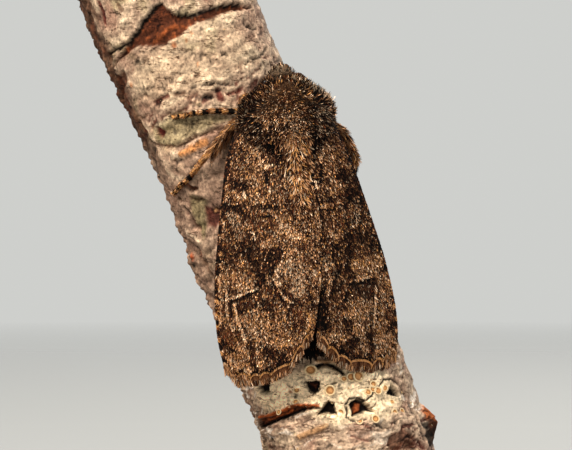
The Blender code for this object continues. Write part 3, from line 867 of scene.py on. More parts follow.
@dataclass
class Forewing:
    """One forewing: a thin blade with scales in rows, and a fringe along its end.

    Its plan is the same for both sides: x is out from the midline, y is to the head. Along runs
    from root to end, across from the inner edge to the costa.
    """

    side: Side
    finish: Material
    membrane: Material
    costa: tuple = (
        (3.1, -0.3), (3.8, -2.0), (4.35, -4.2), (4.98, -7.0),
        (5.57, -10.0), (5.85, -13.2), (5.65, -15.5), (5.4, -16.2),
    )
    termen: tuple = ((0.6, -14.4), (1.8, -15.9), (3.3, -16.5), (4.6, -16.55), (5.4, -16.2))
    lap: tuple = ((1.0, -1.6), (1.35, -6.0), (0.9, -10.0), (0.1, -13.5))
    tuck: tuple = (0.45, 0.45, 0.35, -0.3)
    veins: tuple = (
        ((3.1, -1.0), (4.9, -7.0), (5.4, -12.0), (5.45, -15.9)),
        ((4.2, -8.3), (4.85, -12.0), (4.75, -16.2)),
        ((3.5, -9.8), (3.95, -13.0), (3.95, -16.4)),
        ((2.9, -9.9), (3.05, -13.0), (3.05, -16.2)),
        ((2.6, -9.0), (2.25, -12.5), (2.15, -16.0)),
        ((2.0, -7.0), (1.5, -11.0), (1.3, -15.3)),
        ((1.5, -2.0), (1.2, -7.0), (0.5, -11.0), (0.4, -14.0)),
        ((2.6, -1.5), (2.9, -6.0), (2.9, -9.9), (4.2, -8.3)),
    )
    length: float = 16.5
    rows_length: float = 15.9
    skew: float = 0.0083
    skew_middle: float = -10.5
    coat_depth: float = 0.07
    blade: float = 0.06
    blade_grid: tuple = (150, 64)
    vein_height: float = 0.05
    vein_width: float = 0.11
    fringe: float = 0.8
    bulge: float = 0.3
    lobes: int = 8
    row_step: float = 0.053
    scale_step: float = 0.052
    raised: float = 0.18  # the share of the scales that stand out
    hem: float = 0.12  # how far before the blade's end the scales stop
    # The fringe's layers: length, width, count, mix, height over the blade, painted shade at the root.
    layers: tuple = (
        (0.14, 0.065, 1200, Mix.LINE, 0.05, 0.8),
        (0.62, 0.06, 2600, Mix.TONGUE, -0.01, 0.6),
        (1.08, 0.055, 2900, Mix.FRINGE, -0.03, 0.7),
    )
    inner: Array = field(init=False)
    outer: Array = field(init=False)
    end: Array = field(init=False)

    def __post_init__(self) -> None:
        """Works out the smooth edges of the plan."""
        if self.side is Side.LEFT:
            inner = [(-x, y) for x, y in self.lap]
        else:
            inner = [(x - tuck, y) for (x, y), tuck in zip(self.lap, self.tuck)]
        self.inner = smooth_path(tuple(inner), 6)
        self.outer = smooth_path(self.costa, 6)
        self.end = smooth_path((inner[-1], *self.termen), 6)

    def plan(self, along: Array, across: Array) -> Array:
        """Places in the wing's plan."""
        return plan_between(self.inner, self.outer, self.end, along, across)

    def width(self, along: Array) -> Array:
        """How far it is from the inner edge to the costa."""
        return np.linalg.norm(read(self.outer, along) - read(self.inner, along), axis=-1)

    def reach(self, across: Array) -> Array:
        """The share along at which the blade ends and its fringe begins."""
        last = self.plan(np.ones_like(across), across) - self.plan(np.full_like(across, 0.9), across)
        bulge = self.bulge * (1 + 0.3 * np.sin(9.1 * across + self.side.value))
        short = self.fringe_length(across) - bulge * (1 - self.lobe(across))
        return 1 - 0.1 * short / np.linalg.norm(last, axis=-1)

    def before_end(self, along: Array, across: Array) -> Array:
        """How far places lie before the blade's end."""
        return (self.reach(across) - along) * self.length

    def fringe_length(self, across: Array) -> Array:
        """The fringe's length, which is short where the wings meet."""
        return self.fringe * (0.4 + 0.6 * smooth(0.0, 0.14, across))

    def lobe_turn(self, across: Array) -> Array:
        """The angle through the lobes, which are of uneven widths."""
        return np.pi * (self.lobes * across + 0.28 * np.sin(13.0 * across + 2 * self.side.value))

    def lobe(self, across: Array) -> Array:
        """How far each place is into one of the end's lobes, from 0 between two to 1."""
        return np.abs(np.sin(self.lobe_turn(across))) ** 0.7

    def surface(self, plan: Array, over: float = 0.0) -> Array:
        """The blade's upper side over places in its plan.

        Args:
            plan: places (x, y).
            over: how far over that side.

        Returns:
            Points in the body frame.
        """
        x, y = plan[..., 0], plan[..., 1]
        spread = x * (1 + self.side.value * self.skew * (self.skew_middle - y))
        height = ROOF.height(spread, y) - self.coat_depth + over
        for vein in self.veins:
            away = distance_to(vein, plan) / self.vein_width
            height = height + self.vein_height * np.exp(-(away**2))
        height = height + 0.035 * mottle(plan, 1.6, 5, 2)
        lap_x, lap_y = np.transpose(self.lap)
        past = self.side.value * spread - np.interp(-y, -lap_y, lap_x)
        if self.side is Side.RIGHT:
            height = height - 0.2 * (1 - smooth(0.0, 0.5, past)) * smooth(13.6, 12.8, -y)
        else:
            height = height + 0.05 * smooth(-0.4, 0.0, past)
        return np.stack([self.side.value * spread, y, height], -1)

    def bed(self, along: Array, across: Array, weights: Array, over: float = 0.0) -> Bed:
        """Places on the wing where scales grow.

        Args:
            along: shares from root to end.
            across: shares from the inner edge to the costa.
            weights: the share of each hue there.
            over: how far over the blade.

        Returns:
            The bed, whose scales lie towards the wing's end.
        """
        plan = self.plan(along, across)
        root = self.surface(plan, over)
        ahead = self.surface(self.plan(along + 0.004, across), over) - root
        beside = self.surface(plan + np.array([0.05, 0.0]), over) - root
        out = unit(np.cross(beside, ahead))
        out = out * np.sign(out[:, 2:])
        return BODY.bed(root, out, unit(ahead), 0.02 + 0.96 * np.stack([across, along], -1), weights)

    def hues(self, along: Array, across: Array) -> Array:
        """The share of each hue at places on the wing."""
        plan = self.plan(along, across)
        weights = paint(plan, WING_MARKS + (LEFT_MARKS if self.side is Side.LEFT else RIGHT_MARKS), 3)
        from_costa = (1 - across) * self.width(along)
        weights = Mix.DARK.over(weights, (1 - smooth(0.1, 0.32, from_costa)) * 0.85)
        fleck = (np.sin(plan[:, 1] / 0.85 * 2 * np.pi) > 0.55) & (plan[:, 1] < -10.6)
        weights[fleck & (from_costa < 0.24)] = Mix.ORANGE.shares
        short = self.before_end(along, across)
        lunule = smooth(0.62, 0.42, short) * smooth(0.2, 0.3, short) * self.lobe(across)
        weights = Mix.DARK.over(weights, 0.75 * lunule)
        weights = Mix.BLACK.over(weights, 0.55 * smooth(0.42, 0.3, short) * smooth(0.06, 0.12, short))
        weights = Mix.LINE.over(weights, 0.95 * smooth(0.1, 0.05, short))
        # Painted shade: the whole right wing is darkened a little, as it lies away from the light.
        return Mix.DARK.over(weights, 0.12) if self.side is Side.RIGHT else weights

    def scale_places(self, seed: int) -> tuple[Array, Array]:
        """Shares along and across for staggered rows of scales."""
        rng = np.random.default_rng(seed)
        along, across = [], []
        rows = int(self.rows_length / self.row_step)
        for row in range(rows):
            share = row / rows
            count = int(self.width(np.array(share)) / self.scale_step)
            places = np.arange(count) + 0.25 + 0.5 * (row % 2) + rng.uniform(-0.22, 0.22, count)
            along.append(share + rng.uniform(-0.35, 0.35, count) / rows)
            across.append(places / count)
        across = np.clip(np.concatenate(across), 0.004, 0.996)
        return np.clip(np.concatenate(along), 0.0, 1.0) * self.reach(across), across

    def make_blade(self) -> None:
        """Builds the thin blade under the scales, and dresses it."""
        rows, columns = self.blade_grid
        across = np.tile(np.linspace(0, 1, columns), rows)
        along = np.repeat(np.linspace(0, 1, rows), columns) * self.reach(across)
        top = (self.hues(along, across) @ HUES) * 0.5
        under = np.tile(linear((96, 78, 66)), (len(top), 1))
        upper = self.surface(self.plan(along, across))
        shell = blade_shell(upper, self.blade, columns, (top, under), self.side)
        name = f"forewing_{self.side.word}"
        place_piece(f"{name}_blade", shell, self.membrane, "wing_scales", name)

    def make_scales(self) -> None:
        """Lays the rows of scales, with some taller ones standing out of them."""
        seed = 40 + self.side.value
        along, across = self.scale_places(seed)
        bed = self.bed(along, across, self.hues(along, across))
        shared = {"bright": 0.38, "clump": 0.22, "clump_size": 0.2, "tone": 0.35}
        shared.update(root_shade=0.1, tip_from=0.36)
        flat = TuftSize(0.155, 0.056, 0.22, 0.0, 0.08, stray=0.25, **shared)
        tall = TuftSize(0.18, 0.036, 0.4, -0.05, 0.1, stray=0.3, **shared)
        close = TuftSize(0.15, 0.075, lift=0.08, sway=0.03, stray=0.04, camber=0.0, bright=0.12)
        rng = np.random.default_rng(seed + 7)
        edging = (across > 0.94) | ((across < 0.03) & (along < 0.9))
        raised = (rng.random(len(along)) < self.raised) & ~edging
        clear = self.before_end(along, across) >= self.hem
        kinds = (
            (SCALE, ~raised & ~edging & clear, flat),
            (HAIR_SCALE, raised & clear, tall),
            (SCALE, edging & clear, close),
        )
        shells = [
            grow(shape, bed.kept(which), size, seed + 1 + index)
            for index, (shape, which, size) in enumerate(kinds)
        ]
        place_piece(f"forewing_{self.side.word}_scales", Shell.joined(shells), self.finish, "wing_scales")

    def make_fringe(self) -> None:
        """Lays the fringe's three layers, longer over each lobe and parted between lobes."""
        shells = []
        for index, (part, width, count, mix, over, shade) in enumerate(self.layers):
            rng = np.random.default_rng(60 + index + self.side.value)
            across = (np.arange(count) + rng.uniform(0.1, 0.9, count)) / count
            along = self.reach(across) - rng.uniform(0.0, 0.012 if index else 0.002, count)
            lobe, turn = self.lobe(across), self.lobe_turn(across)
            at_vein = (1 - smooth(0.2, 0.5, lobe)) * (0.6 if index == 1 else 0.0)
            apex = 0.85 * smooth(0.72, 0.86, across)
            weights = Mix.TAN.over(Mix.LINE.over(mix.rows(count), at_vein), apex)
            bed = self.bed(along, across, weights, over)
            fan = -np.cos(turn) * np.sign(np.sin(turn))
            beside = unit(np.cross(bed.out, bed.lie)) * self.side.value
            bed.lie = unit(bed.lie + beside * (0.12 * fan)[:, None])
            loose = float(index > 0)
            size = TuftSize(
                part, width, 0.02, -0.06, 0.02 + 0.06 * loose, 0.06 * loose, 0.03 + 0.03 * loose,
                root_shade=shade, bright=0.13 + 0.05 * loose,
            )
            length = 1 + 0.3 * apex * rng.uniform(-1, 1, count)
            if index:
                length = length * (self.fringe_length(across) - (self.bulge - 0.06) * (1 - lobe))
            shells.append(grow(HAIR_SCALE, bed, size, 70 + index, length))
        place_piece(f"forewing_{self.side.word}_fringe", Shell.joined(shells), self.finish, "wing_scales")

    def build(self) -> None:
        """Builds the blade, its scales and its fringe."""
        self.make_blade()
        self.make_scales()
        self.make_fringe()


@dataclass
class Hindwing:
    """One hindwing, folded flat under its forewing: a pale blade with a paler fringe."""

    side: Side
    finish: Material
    outer: tuple = ((2.5, -2.2), (3.7, -5.0), (4.7, -9.5), (4.4, -12.0))
    end: tuple = ((1.7, -12.3), (2.2, -13.1), (3.7, -13.3), (4.4, -12.0))
    inner: tuple = ((1.9, -2.6), (2.1, -5.0), (1.9, -9.0), (1.7, -12.3))
    under: float = 0.85
    blade: float = 0.06
    blade_grid: tuple = (46, 30)
    hairs: int = 1500

    def surface(self, along: Array, across: Array, over: float = 0.0) -> Array:
        """The blade's upper side, in the body frame."""
        edges = (smooth_path(route, 6) for route in (self.inner, self.outer, self.end))
        x, y = np.moveaxis(plan_between(*edges, along, across), -1, 0)
        height = ROOF.height(x, y) - self.under + over + 0.04 * np.sin(across * 34)
        return np.stack([self.side.value * x, y, height], -1)

    def make_blade(self, name: str) -> None:
        """Builds the pleated blade."""
        rows, columns = self.blade_grid
        across = np.tile(np.linspace(0, 1, columns), rows)
        along = np.repeat(np.linspace(0, 1, rows), columns)
        tint = linear((120, 100, 84)) * (0.75 + 0.25 * smooth(1.0, 0.6, along))[:, None]
        shell = blade_shell(self.surface(along, across), self.blade, columns, (tint, tint), self.side)
        place_piece(f"{name}_blade", shell, self.finish, "wing_scales", name)

    def make_fringe(self, name: str) -> None:
        """Lays the pale hairs along the blade's end and inner edge."""
        rng = np.random.default_rng(90)
        count = self.hairs
        across = rng.uniform(0, 1, count)
        along = np.full(count, 0.995)
        edge = rng.random(count) < 0.35
        along[edge], across[edge] = rng.uniform(0.5, 0.99, edge.sum()), 0.01
        root = self.surface(along, across, -0.03)
        ahead = unit(root - self.surface(along - 0.01, across, -0.03))
        ahead[edge] = unit(ahead[edge] + np.array([-self.side.value * 0.6, -0.8, 0.0]))
        out = unit(np.tile([self.side.value * 0.3, 0.0, 1.0], (count, 1)))
        unwrap = 0.02 + 0.96 * np.stack([across, along - 0.3 * rng.random(count)], -1)
        bed = BODY.bed(root, out, ahead, unwrap, Mix.FRINGE.rows(count))
        size = TuftSize(0.75, 0.05, 0.0, -0.05, 0.12, 0.15, 0.12, root_shade=0.7)
        place_piece(f"{name}_fringe", grow(HAIR_SCALE, bed, size, 91), self.finish, "wing_scales")

    def build(self) -> None:
        """Builds the blade and its fringe."""
        name = f"hindwing_{self.side.word}"
        self.make_blade(name)
        self.make_fringe(name)


# ---- finishes


def add_node(tree: bpy.types.NodeTree, kind: str, **values: object) -> bpy.types.Node:
    """Adds a node to a tree.

    Args:
        tree: the tree.
        kind: the node's type.
        values: its own settings, and its inputs' values with _ for the spaces in their names.

    Returns:
        The node.
    """
    made = tree.nodes.new(kind)
    for key, value in values.items():
        if hasattr(made, key):
            setattr(made, key, value)
        else:
            made.inputs[key.replace("_", " ")].default_value = value
    return made


@dataclass
class NodeBoard:
    """A new node material, with short ways to add and join its nodes."""

    name: str

    def __post_init__(self) -> None:
        """Starts the material with its output and one Principled shader."""
        self.material = bpy.data.materials.new(self.name)
        self.material.use_nodes = True
        self.tree = self.material.node_tree
        self.shader = self.tree.nodes["Principled BSDF"]

    def set(self, **values: object) -> None:
        """Sets the shader's inputs, with _ for the spaces in their names."""
        for key, value in values.items():
            self.shader.inputs[key.replace("_", " ")].default_value = value

    def feed(self, name: str, value: Socket) -> None:
        """Links a value to one of the shader's inputs."""
        self.join(value, self.shader.inputs[name])

    def node(self, kind: str, **values: object) -> bpy.types.Node:
        """Adds a node, with its own settings and its inputs' values by name."""
        return add_node(self.tree, kind, **values)

    def join(self, start: Socket, end: Socket) -> None:
        """Links an output to an input."""
        self.tree.links.new(start, end)

    def place(self) -> Socket:
        """Object coordinates."""
        return self.node("ShaderNodeTexCoord").outputs["Object"]

    def noise(self, scale: float, detail: float = 3.0, stretch: tuple | None = None) -> Socket:
        """Noise over Object coordinates, per metre, stretched along an axis if asked."""
        place = self.place()
        if stretch:
            mapping = self.node("ShaderNodeMapping", Scale=stretch)
            self.join(place, mapping.inputs["Vector"])
            place = mapping.outputs["Vector"]
        made = self.node("ShaderNodeTexNoise", Scale=scale, Detail=detail, Roughness=0.6)
        self.join(place, made.inputs["Vector"])
        return made.outputs["Fac"]

    def ramp(self, value: Socket, *stops: tuple) -> Socket:
        """A colour ramp of stops, each a place with its linear colour or its grey."""
        made = self.node("ShaderNodeValToRGB")
        band = made.color_ramp
        while len(band.elements) < len(stops):
            band.elements.new(0.5)
        for element, (at, colour) in zip(band.elements, stops):
            element.position = at
            element.color = (*np.broadcast_to(colour, 3), 1.0)
        self.join(value, made.inputs["Fac"])
        return made.outputs["Color"]

    def multiply(self, first: Socket, second: Socket) -> Socket:
        """One colour times another."""
        made = self.node("ShaderNodeMix", data_type="RGBA", blend_type="MULTIPLY", Factor=1.0)
        self.join(first, made.inputs["A"])
        self.join(second, made.inputs["B"])
        return made.outputs["Result"]

    def bump(self, height: Socket, strength: float, depth: float) -> None:
        """Bump on the shader, its depth in millimetres."""
        made = self.node("ShaderNodeBump", Strength=strength, Distance=depth * MM)
        self.join(height, made.inputs["Height"])
        self.feed("Normal", made.outputs["Normal"])

    def tint(self) -> Socket:
        """The piece's own tint attribute."""
        return self.node("ShaderNodeAttribute", attribute_name="tint").outputs["Color"]


@dataclass(frozen=True)
class TintFinish:
    """A finish whose colour is the piece's tint, broken up by fine noise."""

    name: str
    roughness: float = 0.7
    grain: float = 16000.0
    low: float = 0.7
    high: float = 1.25
    bump: float = 0.0
    specular: float = 0.06

    def made(self) -> Material:
        """Builds the material."""
        board = NodeBoard(self.name)
        board.set(Roughness=self.roughness, Specular_IOR_Level=self.specular)
        noise = board.noise(self.grain, 2.0)
        vary = board.ramp(noise, (0.3, self.low), (0.7, self.high))
        board.feed("Base Color", board.multiply(board.tint(), vary))
        if self.bump:
            board.bump(noise, 0.7, self.bump)
        return board.material


@dataclass(frozen=True)
class EyeFinish:
    """Dark gloss over six-sided facets."""

    name: str = "eye_facets"
    facets: float = 22000.0
    dark: tuple = (22, 15, 12)
    light: tuple = (64, 42, 30)

    def made(self) -> Material:
        """Builds the material."""
        board = NodeBoard(self.name)
        board.set(Roughness=0.18, Coat_Weight=0.6, Coat_Roughness=0.08)
        cells = board.node("ShaderNodeTexVoronoi", feature="F1", Scale=self.facets)
        board.join(board.place(), cells.inputs["Vector"])
        cloud = board.noise(1800.0)
        board.feed("Base Color", board.ramp(cloud, (0.3, linear(self.dark)), (0.7, linear(self.light))))
        board.bump(cells.outputs["Distance"], 0.5, -0.02)
        return board.material


@dataclass(frozen=True)
class BarkFinish:
    """Bark: the piece's tint under fine crumbs, dark pits, and cracks that run round the branch."""

    name: str = "bark_rind"
    dark: tuple = (0.16, 0.11, 0.08)

    def made(self) -> Material:
        """Builds the material."""
        board = NodeBoard(self.name)
        board.set(Roughness=0.85, Specular_IOR_Level=0.12)
        crumbs = board.noise(5600.0, 5.0)
        pits = board.noise(2600.0, 4.0, (0.8, 0.8, 1.5))
        cracks = board.noise(1100.0, 6.0, (0.45, 0.45, 2.2))
        dark = self.dark
        light = board.ramp(crumbs, (0.3, 0.5), (0.5, 1.02), (0.7, 1.6))
        pitted = board.ramp(pits, (0.31, dark), (0.37, 1))
        split = board.ramp(
            cracks, (0.35, 1), (0.372, dark), (0.378, dark), (0.4, 1), (0.63, 1), (0.645, dark), (0.67, 1)
        )
        shade = board.multiply(board.multiply(light, pitted), split)
        board.feed("Base Color", board.multiply(board.tint(), shade))
        board.bump(crumbs, 0.8, 0.07)
        return board.material


@dataclass(frozen=True)
class WoodFinish:
    """Dark satin hardwood with its grain along X."""

    name: str = "stand_wood"
    rings: tuple = ((0.3, (38, 22, 14)), (0.52, (84, 50, 31)), (0.72, (118, 76, 48)))

    def made(self) -> Material:
        """Builds the material."""
        board = NodeBoard(self.name)
        board.set(Roughness=0.38, Coat_Weight=0.25, Coat_Roughness=0.2)
        fibres = board.noise(900.0, 6.0, (0.06, 1.0, 1.0))
        rings = board.noise(160.0, 2.0, (0.12, 1.0, 1.0))
        fine = board.ramp(fibres, (0.3, 0.55), (0.65, 1.15))
        broad = board.ramp(rings, *((at, linear(colour)) for at, colour in self.rings))
        board.feed("Base Color", board.multiply(broad, fine))
        board.bump(fibres, 0.35, 0.03)
        return board.material


@dataclass(frozen=True)
class SteelFinish:
    """Brushed steel, with fine rings round the rod."""

    name: str = "stand_steel"

    def made(self) -> Material:
        """Builds the material."""
        board = NodeBoard(self.name)
        board.set(Metallic=1.0)
        brush = board.noise(9000.0, 3.0, (0.08, 0.08, 1.0))
        board.feed("Base Color", board.ramp(brush, (0.3, (0.42, 0.41, 0.4)), (0.7, (0.68, 0.67, 0.65))))
        board.feed("Roughness", board.ramp(brush, (0.3, 0.22), (0.7, 0.36)))
        board.bump(brush, 0.2, 0.01)
        return board.material


@dataclass(frozen=True)
class FloorFinish:
    """A plain pale floor that fades into the pale surround."""

    name: str = "studio_floor"
    colour: tuple = (0.33, 0.335, 0.33)

    def made(self) -> Material:
        """Builds the material."""
        board = NodeBoard(self.name)
        board.set(Base_Color=(*self.colour, 1.0), Roughness=0.9)
        away = board.node("ShaderNodeVectorMath", operation="LENGTH")
        board.join(board.place(), away.inputs[0])
        board.feed("Alpha", board.ramp(away.outputs["Value"], (0.16, 1), (0.5, 0)))
        return board.material


# ---- branch


@dataclass(frozen=True)
class Branch:
    """The cut length of branch: its centreline and the girth of its plain bark."""

    route: tuple = ((-9.3, 17.8), (-5.9, 10.3), (-1.3, 0.0), (2.75, -10.3), (4.9, -17.4))
    radius: float = 5.4
    waves: tuple = ((2, 0.35, 0.1), (3, -0.6, 0.07), (5, 1.1, 0.04))
    knots: tuple = ((-14.6, 84.0, 0.8, 0.9), (-0.4, -84.0, 0.3, 0.9))

    def centre(self, rise: Array) -> Array:
        """Points on the centreline, in the row frame."""
        path = smooth_path(self.route, 12)[::-1]
        x = np.interp(rise, path[:, 1], path[:, 0])
        return np.stack([x, np.zeros_like(x), np.asarray(rise, float) + PERCH_MIDDLE_HEIGHT], -1)

    def right(self, rise: Array) -> Array:
        """The way across the branch to the right."""
        rise = np.asarray(rise, float)
        up = unit(self.centre(rise + 0.5) - self.centre(rise - 0.5))
        return unit(np.stack([up[..., 2], np.zeros_like(rise), -up[..., 0]], -1))

    def girth(self, rise: Array, angle: Array) -> Array:
        """The radius of the plain bark."""
        turn = np.radians(angle)
        radius = self.radius + 0 * turn
        for times, twist, height in self.waves:
            radius = radius + height * np.sin(times * turn + twist * rise)
        for at_rise, at_angle, height, spread in self.knots:
            round_way = np.radians((angle - at_angle + 180) % 360 - 180) * self.radius
            away = np.hypot(rise - at_rise, round_way) / spread
            radius = radius + height * np.exp(-(away**2))
        return radius

    def point(self, rise: Array, angle: Array, height: Array | float = 0.0) -> Array:
        """Points at a height over the plain bark, in the row frame."""
        turn = np.radians(angle)[..., None]
        way = -np.cos(turn) * np.array([0.0, 1.0, 0.0]) + np.sin(turn) * self.right(rise)
        return self.centre(rise) + way * (self.girth(rise, angle) + height)[..., None]

    def flat(self, places: Array) -> Array:
        """Places (rise, angle) as millimetres up and round the bark."""
        return places * np.array([1.0, math.radians(1) * self.radius])

    def solid(self, rise: Array, angle: Array) -> Array:
        """Places on a straight branch, over which the bark's mottling runs."""
        turn = np.radians(angle)
        return np.stack([self.radius * np.cos(turn), self.radius * np.sin(turn), rise], -1)


PERCH = Branch()


# ---- body


@dataclass(frozen=True)
class Trunk:
    """A stretch of the body: sections of (y, half width, top, level of that width, bottom)."""

    sections: tuple
    depth: float
    pinch: float = 1.7
    groove: float = 0.0
    groove_width: float = 11.0
    grooves_at: tuple = (60.0, 120.0)

    def read(self, y: Array) -> tuple[Array, ...]:
        """The half width, top, level and bottom at each y."""
        table = np.array(sorted(self.sections))
        return tuple(np.interp(y, table[:, 0], column) for column in table[:, 1:].T)

    def surface(self, y: Array, turn: Array, over: float = 0.0) -> Array:
        """Points on the skin.

        Args:
            y: how far to the head.
            turn: degrees round the section, 90 at its top.
            over: how far over the skin.

        Returns:
            The points, in the body frame.
        """
        half, top, level, bottom = self.read(y)
        angle = np.radians(turn)
        upper = np.sin(angle) >= 0
        power = np.where(upper, 1.0, 2 / self.pinch)
        tall = np.where(upper, top - level, level - bottom) - self.depth + over
        cut = sum(np.exp(-(((turn - at) / self.groove_width) ** 2)) for at in self.grooves_at) * self.groove
        across = np.sign(np.cos(angle)) * np.abs(np.cos(angle)) ** power
        rise = np.sign(np.sin(angle)) * np.abs(np.sin(angle)) ** power
        wide = np.maximum(half - self.depth + over - cut, 0.05)
        return np.stack([wide * across, y, level + np.maximum(tall - cut, 0.05) * rise], -1)

    def shell(self, steps: int, sides: int) -> Shell:
        """The skin as a closed shell, in the row frame."""
        y = np.repeat(np.linspace(*self.ends(), steps), sides)
        rings = self.surface(y, np.tile(np.arange(sides) * 360 / sides, steps))
        points = np.vstack([rings, rings[:sides].mean(0), rings[-sides:].mean(0)])
        return Shell(BODY.out(points), ring_faces(steps, sides), np.zeros_like(points))

    def ends(self) -> tuple[float, float]:
        """The tail and head ends of the stretch."""
        places = [section[0] for section in self.sections]
        return min(places), max(places)

    def bed(self, spacing: float, seed: int) -> Bed:
        """Evenly spread places on the skin.

        Args:
            spacing: how far apart they are.
            seed: fixes what is random.

        Returns:
            The bed in the body frame, with no lie and no hues yet.
        """
        rng = np.random.default_rng(seed)
        low, high = self.ends()
        round_ring = np.linspace(0, 360, 49)
        ys, turns = [], []
        for y in np.arange(low, high, spacing):
            lengths = lengths_of(self.surface(np.full(len(round_ring), y), round_ring))
            count = max(int(lengths[-1] / spacing), 6)
            place = (np.arange(count) + rng.uniform(-0.3, 0.3, count) + rng.random()) / count % 1
            turns.append(np.interp(place, lengths / lengths[-1], round_ring))
            ys.append(y + rng.uniform(-0.5, 0.5, count) * spacing)
        y, turn = np.concatenate(ys), np.concatenate(turns)
        root = self.surface(y, turn)
        ahead = self.surface(y + 0.05, turn) - self.surface(y - 0.05, turn)
        beside = self.surface(y, turn + 1.5) - self.surface(y, turn - 1.5)
        out = unit(np.cross(ahead, beside))
        middle = np.stack([np.zeros_like(y), y, np.full_like(y, 0.4)], -1)
        out = out * np.sign(((root - middle) * out).sum(-1, keepdims=True))
        unwrap = 0.02 + 0.96 * np.stack([turn / 360, (y - low) / (high - low)], -1)
        return Bed(root, out, np.zeros_like(root), np.clip(unwrap, 0, 1), np.zeros((len(y), len(HUES))))


THORAX = Trunk(
    (
        (2.6, 1.1, 1.7, 1.3, 0.95), (2.15, 1.8, 2.15, 1.2, 0.6), (1.8, 2.25, 2.4, 1.0, 0.1),
        (1.45, 2.65, 2.6, 0.5, -1.5), (1.05, 3.02, 2.8, 0.5, -1.95), (0.5, 3.15, 3.0, 0.7, -2.0),
        (-0.2, 3.12, 3.15, 0.7, -2.0), (-0.8, 3.0, 3.25, 0.7, -1.95), (-1.4, 2.6, 3.3, 0.6, -1.85),
        (-2.0, 2.1, 3.3, 0.5, -1.75), (-2.6, 1.7, 3.2, 0.4, -1.6), (-3.4, 1.5, 2.5, 0.3, -1.45),
    ),
    0.27,
    groove=0.1,
)
ABDOMEN = Trunk(
    (
        (-2.2, 1.5, 1.8, 0.2, -1.4), (-4.2, 1.9, 1.9, 0.2, -1.45), (-5.5, 1.95, 1.85, 0.15, -1.45),
        (-7.0, 1.85, 1.7, 0.1, -1.4), (-8.5, 1.65, 1.45, 0.05, -1.25), (-10.0, 1.35, 1.1, 0.0, -1.05),
        (-11.2, 1.05, 0.75, -0.1, -0.9), (-12.0, 0.75, 0.4, -0.2, -0.75), (-12.6, 0.35, 0.05, -0.2, -0.45),
    ),
    0.2,
)
HEAD = Trunk(
    (
        (1.4, 1.0, 0.3, -0.5, -1.4), (2.0, 1.15, 0.3, -0.6, -1.6), (2.35, 1.3, 0.5, -0.6, -1.75),
        (2.75, 1.3, 0.75, -0.55, -1.8), (3.05, 1.0, 0.95, -0.2, -1.2), (3.35, 0.65, 0.9, 0.3, -0.35),
        (3.58, 0.3, 0.62, 0.42, 0.2),
    ),
    0.22,
)
EYE_AT = np.array([1.0, 2.5, -0.5])


@dataclass(frozen=True)
class Leg:
    """One leg: hip and knee in the body frame, then places on the bark as (rise, angle, height)."""

    name: str
    joints: tuple
    on_bark: tuple
    fringe: float = 0.45
    radii: tuple = (0.32, 0.34, 0.3, 0.24, 0.19, 0.14)
    rings: tuple = (0.42, 0.6, 0.74, 0.86, 1.0)
    golden: float = 0.0
    step: float = 0.07
    bend: float = 0.22
    bend_points: int = 5

    def corners(self) -> Array:
        """The leg's joints and its places on the bark, in the row frame."""
        on_bark = [PERCH.point(np.array(r), np.array(a), h) for r, a, h in self.on_bark]
        return np.vstack([BODY.out(np.array(self.joints)), *on_bark])

    def path(self) -> Array:
        """The leg's centreline in the row frame, from hip to claws."""
        joints = self.corners()
        rounded = [joints[0]]
        for before, joint, after in zip(joints, joints[1:], joints[2:]):
            start, end = blend(joint, before, self.bend), blend(joint, after, self.bend)
            for t in np.linspace(0, 1, self.bend_points):
                rounded.append(blend(blend(start, joint, t), blend(joint, end, t), t))
        rounded = np.array([*rounded, joints[-1]])
        steps = lengths_of(rounded)
        return spread_over(rounded, steps, np.linspace(0, steps[-1], int(steps[-1] / self.step) + 1))

    def length(self) -> float:
        """The path's length, in whole steps."""
        return self.step * (len(self.path()) - 1)

    def marks(self) -> tuple[float, ...]:
        """The shares of the path at which the knee lies and the tarsus begins."""
        path = self.path()
        knee, ankle = self.corners()[1:3]
        nearest = (np.argmin(np.linalg.norm(path - corner, axis=1)) for corner in (knee, ankle))
        return tuple(place / (len(path) - 1) for place in nearest)

    def radius(self, share: Array) -> Array:
        """The skin's radius along the leg."""
        knee, ankle = self.marks()
        places = (0.0, knee * 0.6, knee + 0.02, ankle - 0.03, ankle + 0.03, 1.0)
        radius = np.interp(share, places, self.radii)
        tarsus = (share - ankle) / (1 - ankle)
        for ring in self.rings[:-1]:
            radius = radius - 0.035 * np.exp(-(((tarsus - ring) / 0.02) ** 2))
        return radius

    def hues(self, share: Array) -> Array:
        """The share of each hue along the leg, banded on the tarsus."""
        _, ankle = self.marks()
        weights = Mix.LEG.rows(len(share))
        tarsus = (share - ankle) / (1 - ankle)
        weights[tarsus > 0] = Mix.BLACK.shares
        pale = np.abs(tarsus) < 0.06
        for ring in self.rings:
            pale |= (tarsus > ring - 0.065) & (tarsus < ring + 0.02)
        pale |= (tarsus > 0.17) & (tarsus < 0.25)
        pale |= (tarsus > 0) & (tarsus < self.golden)
        weights[pale] = Mix.ORANGE.shares
        return weights


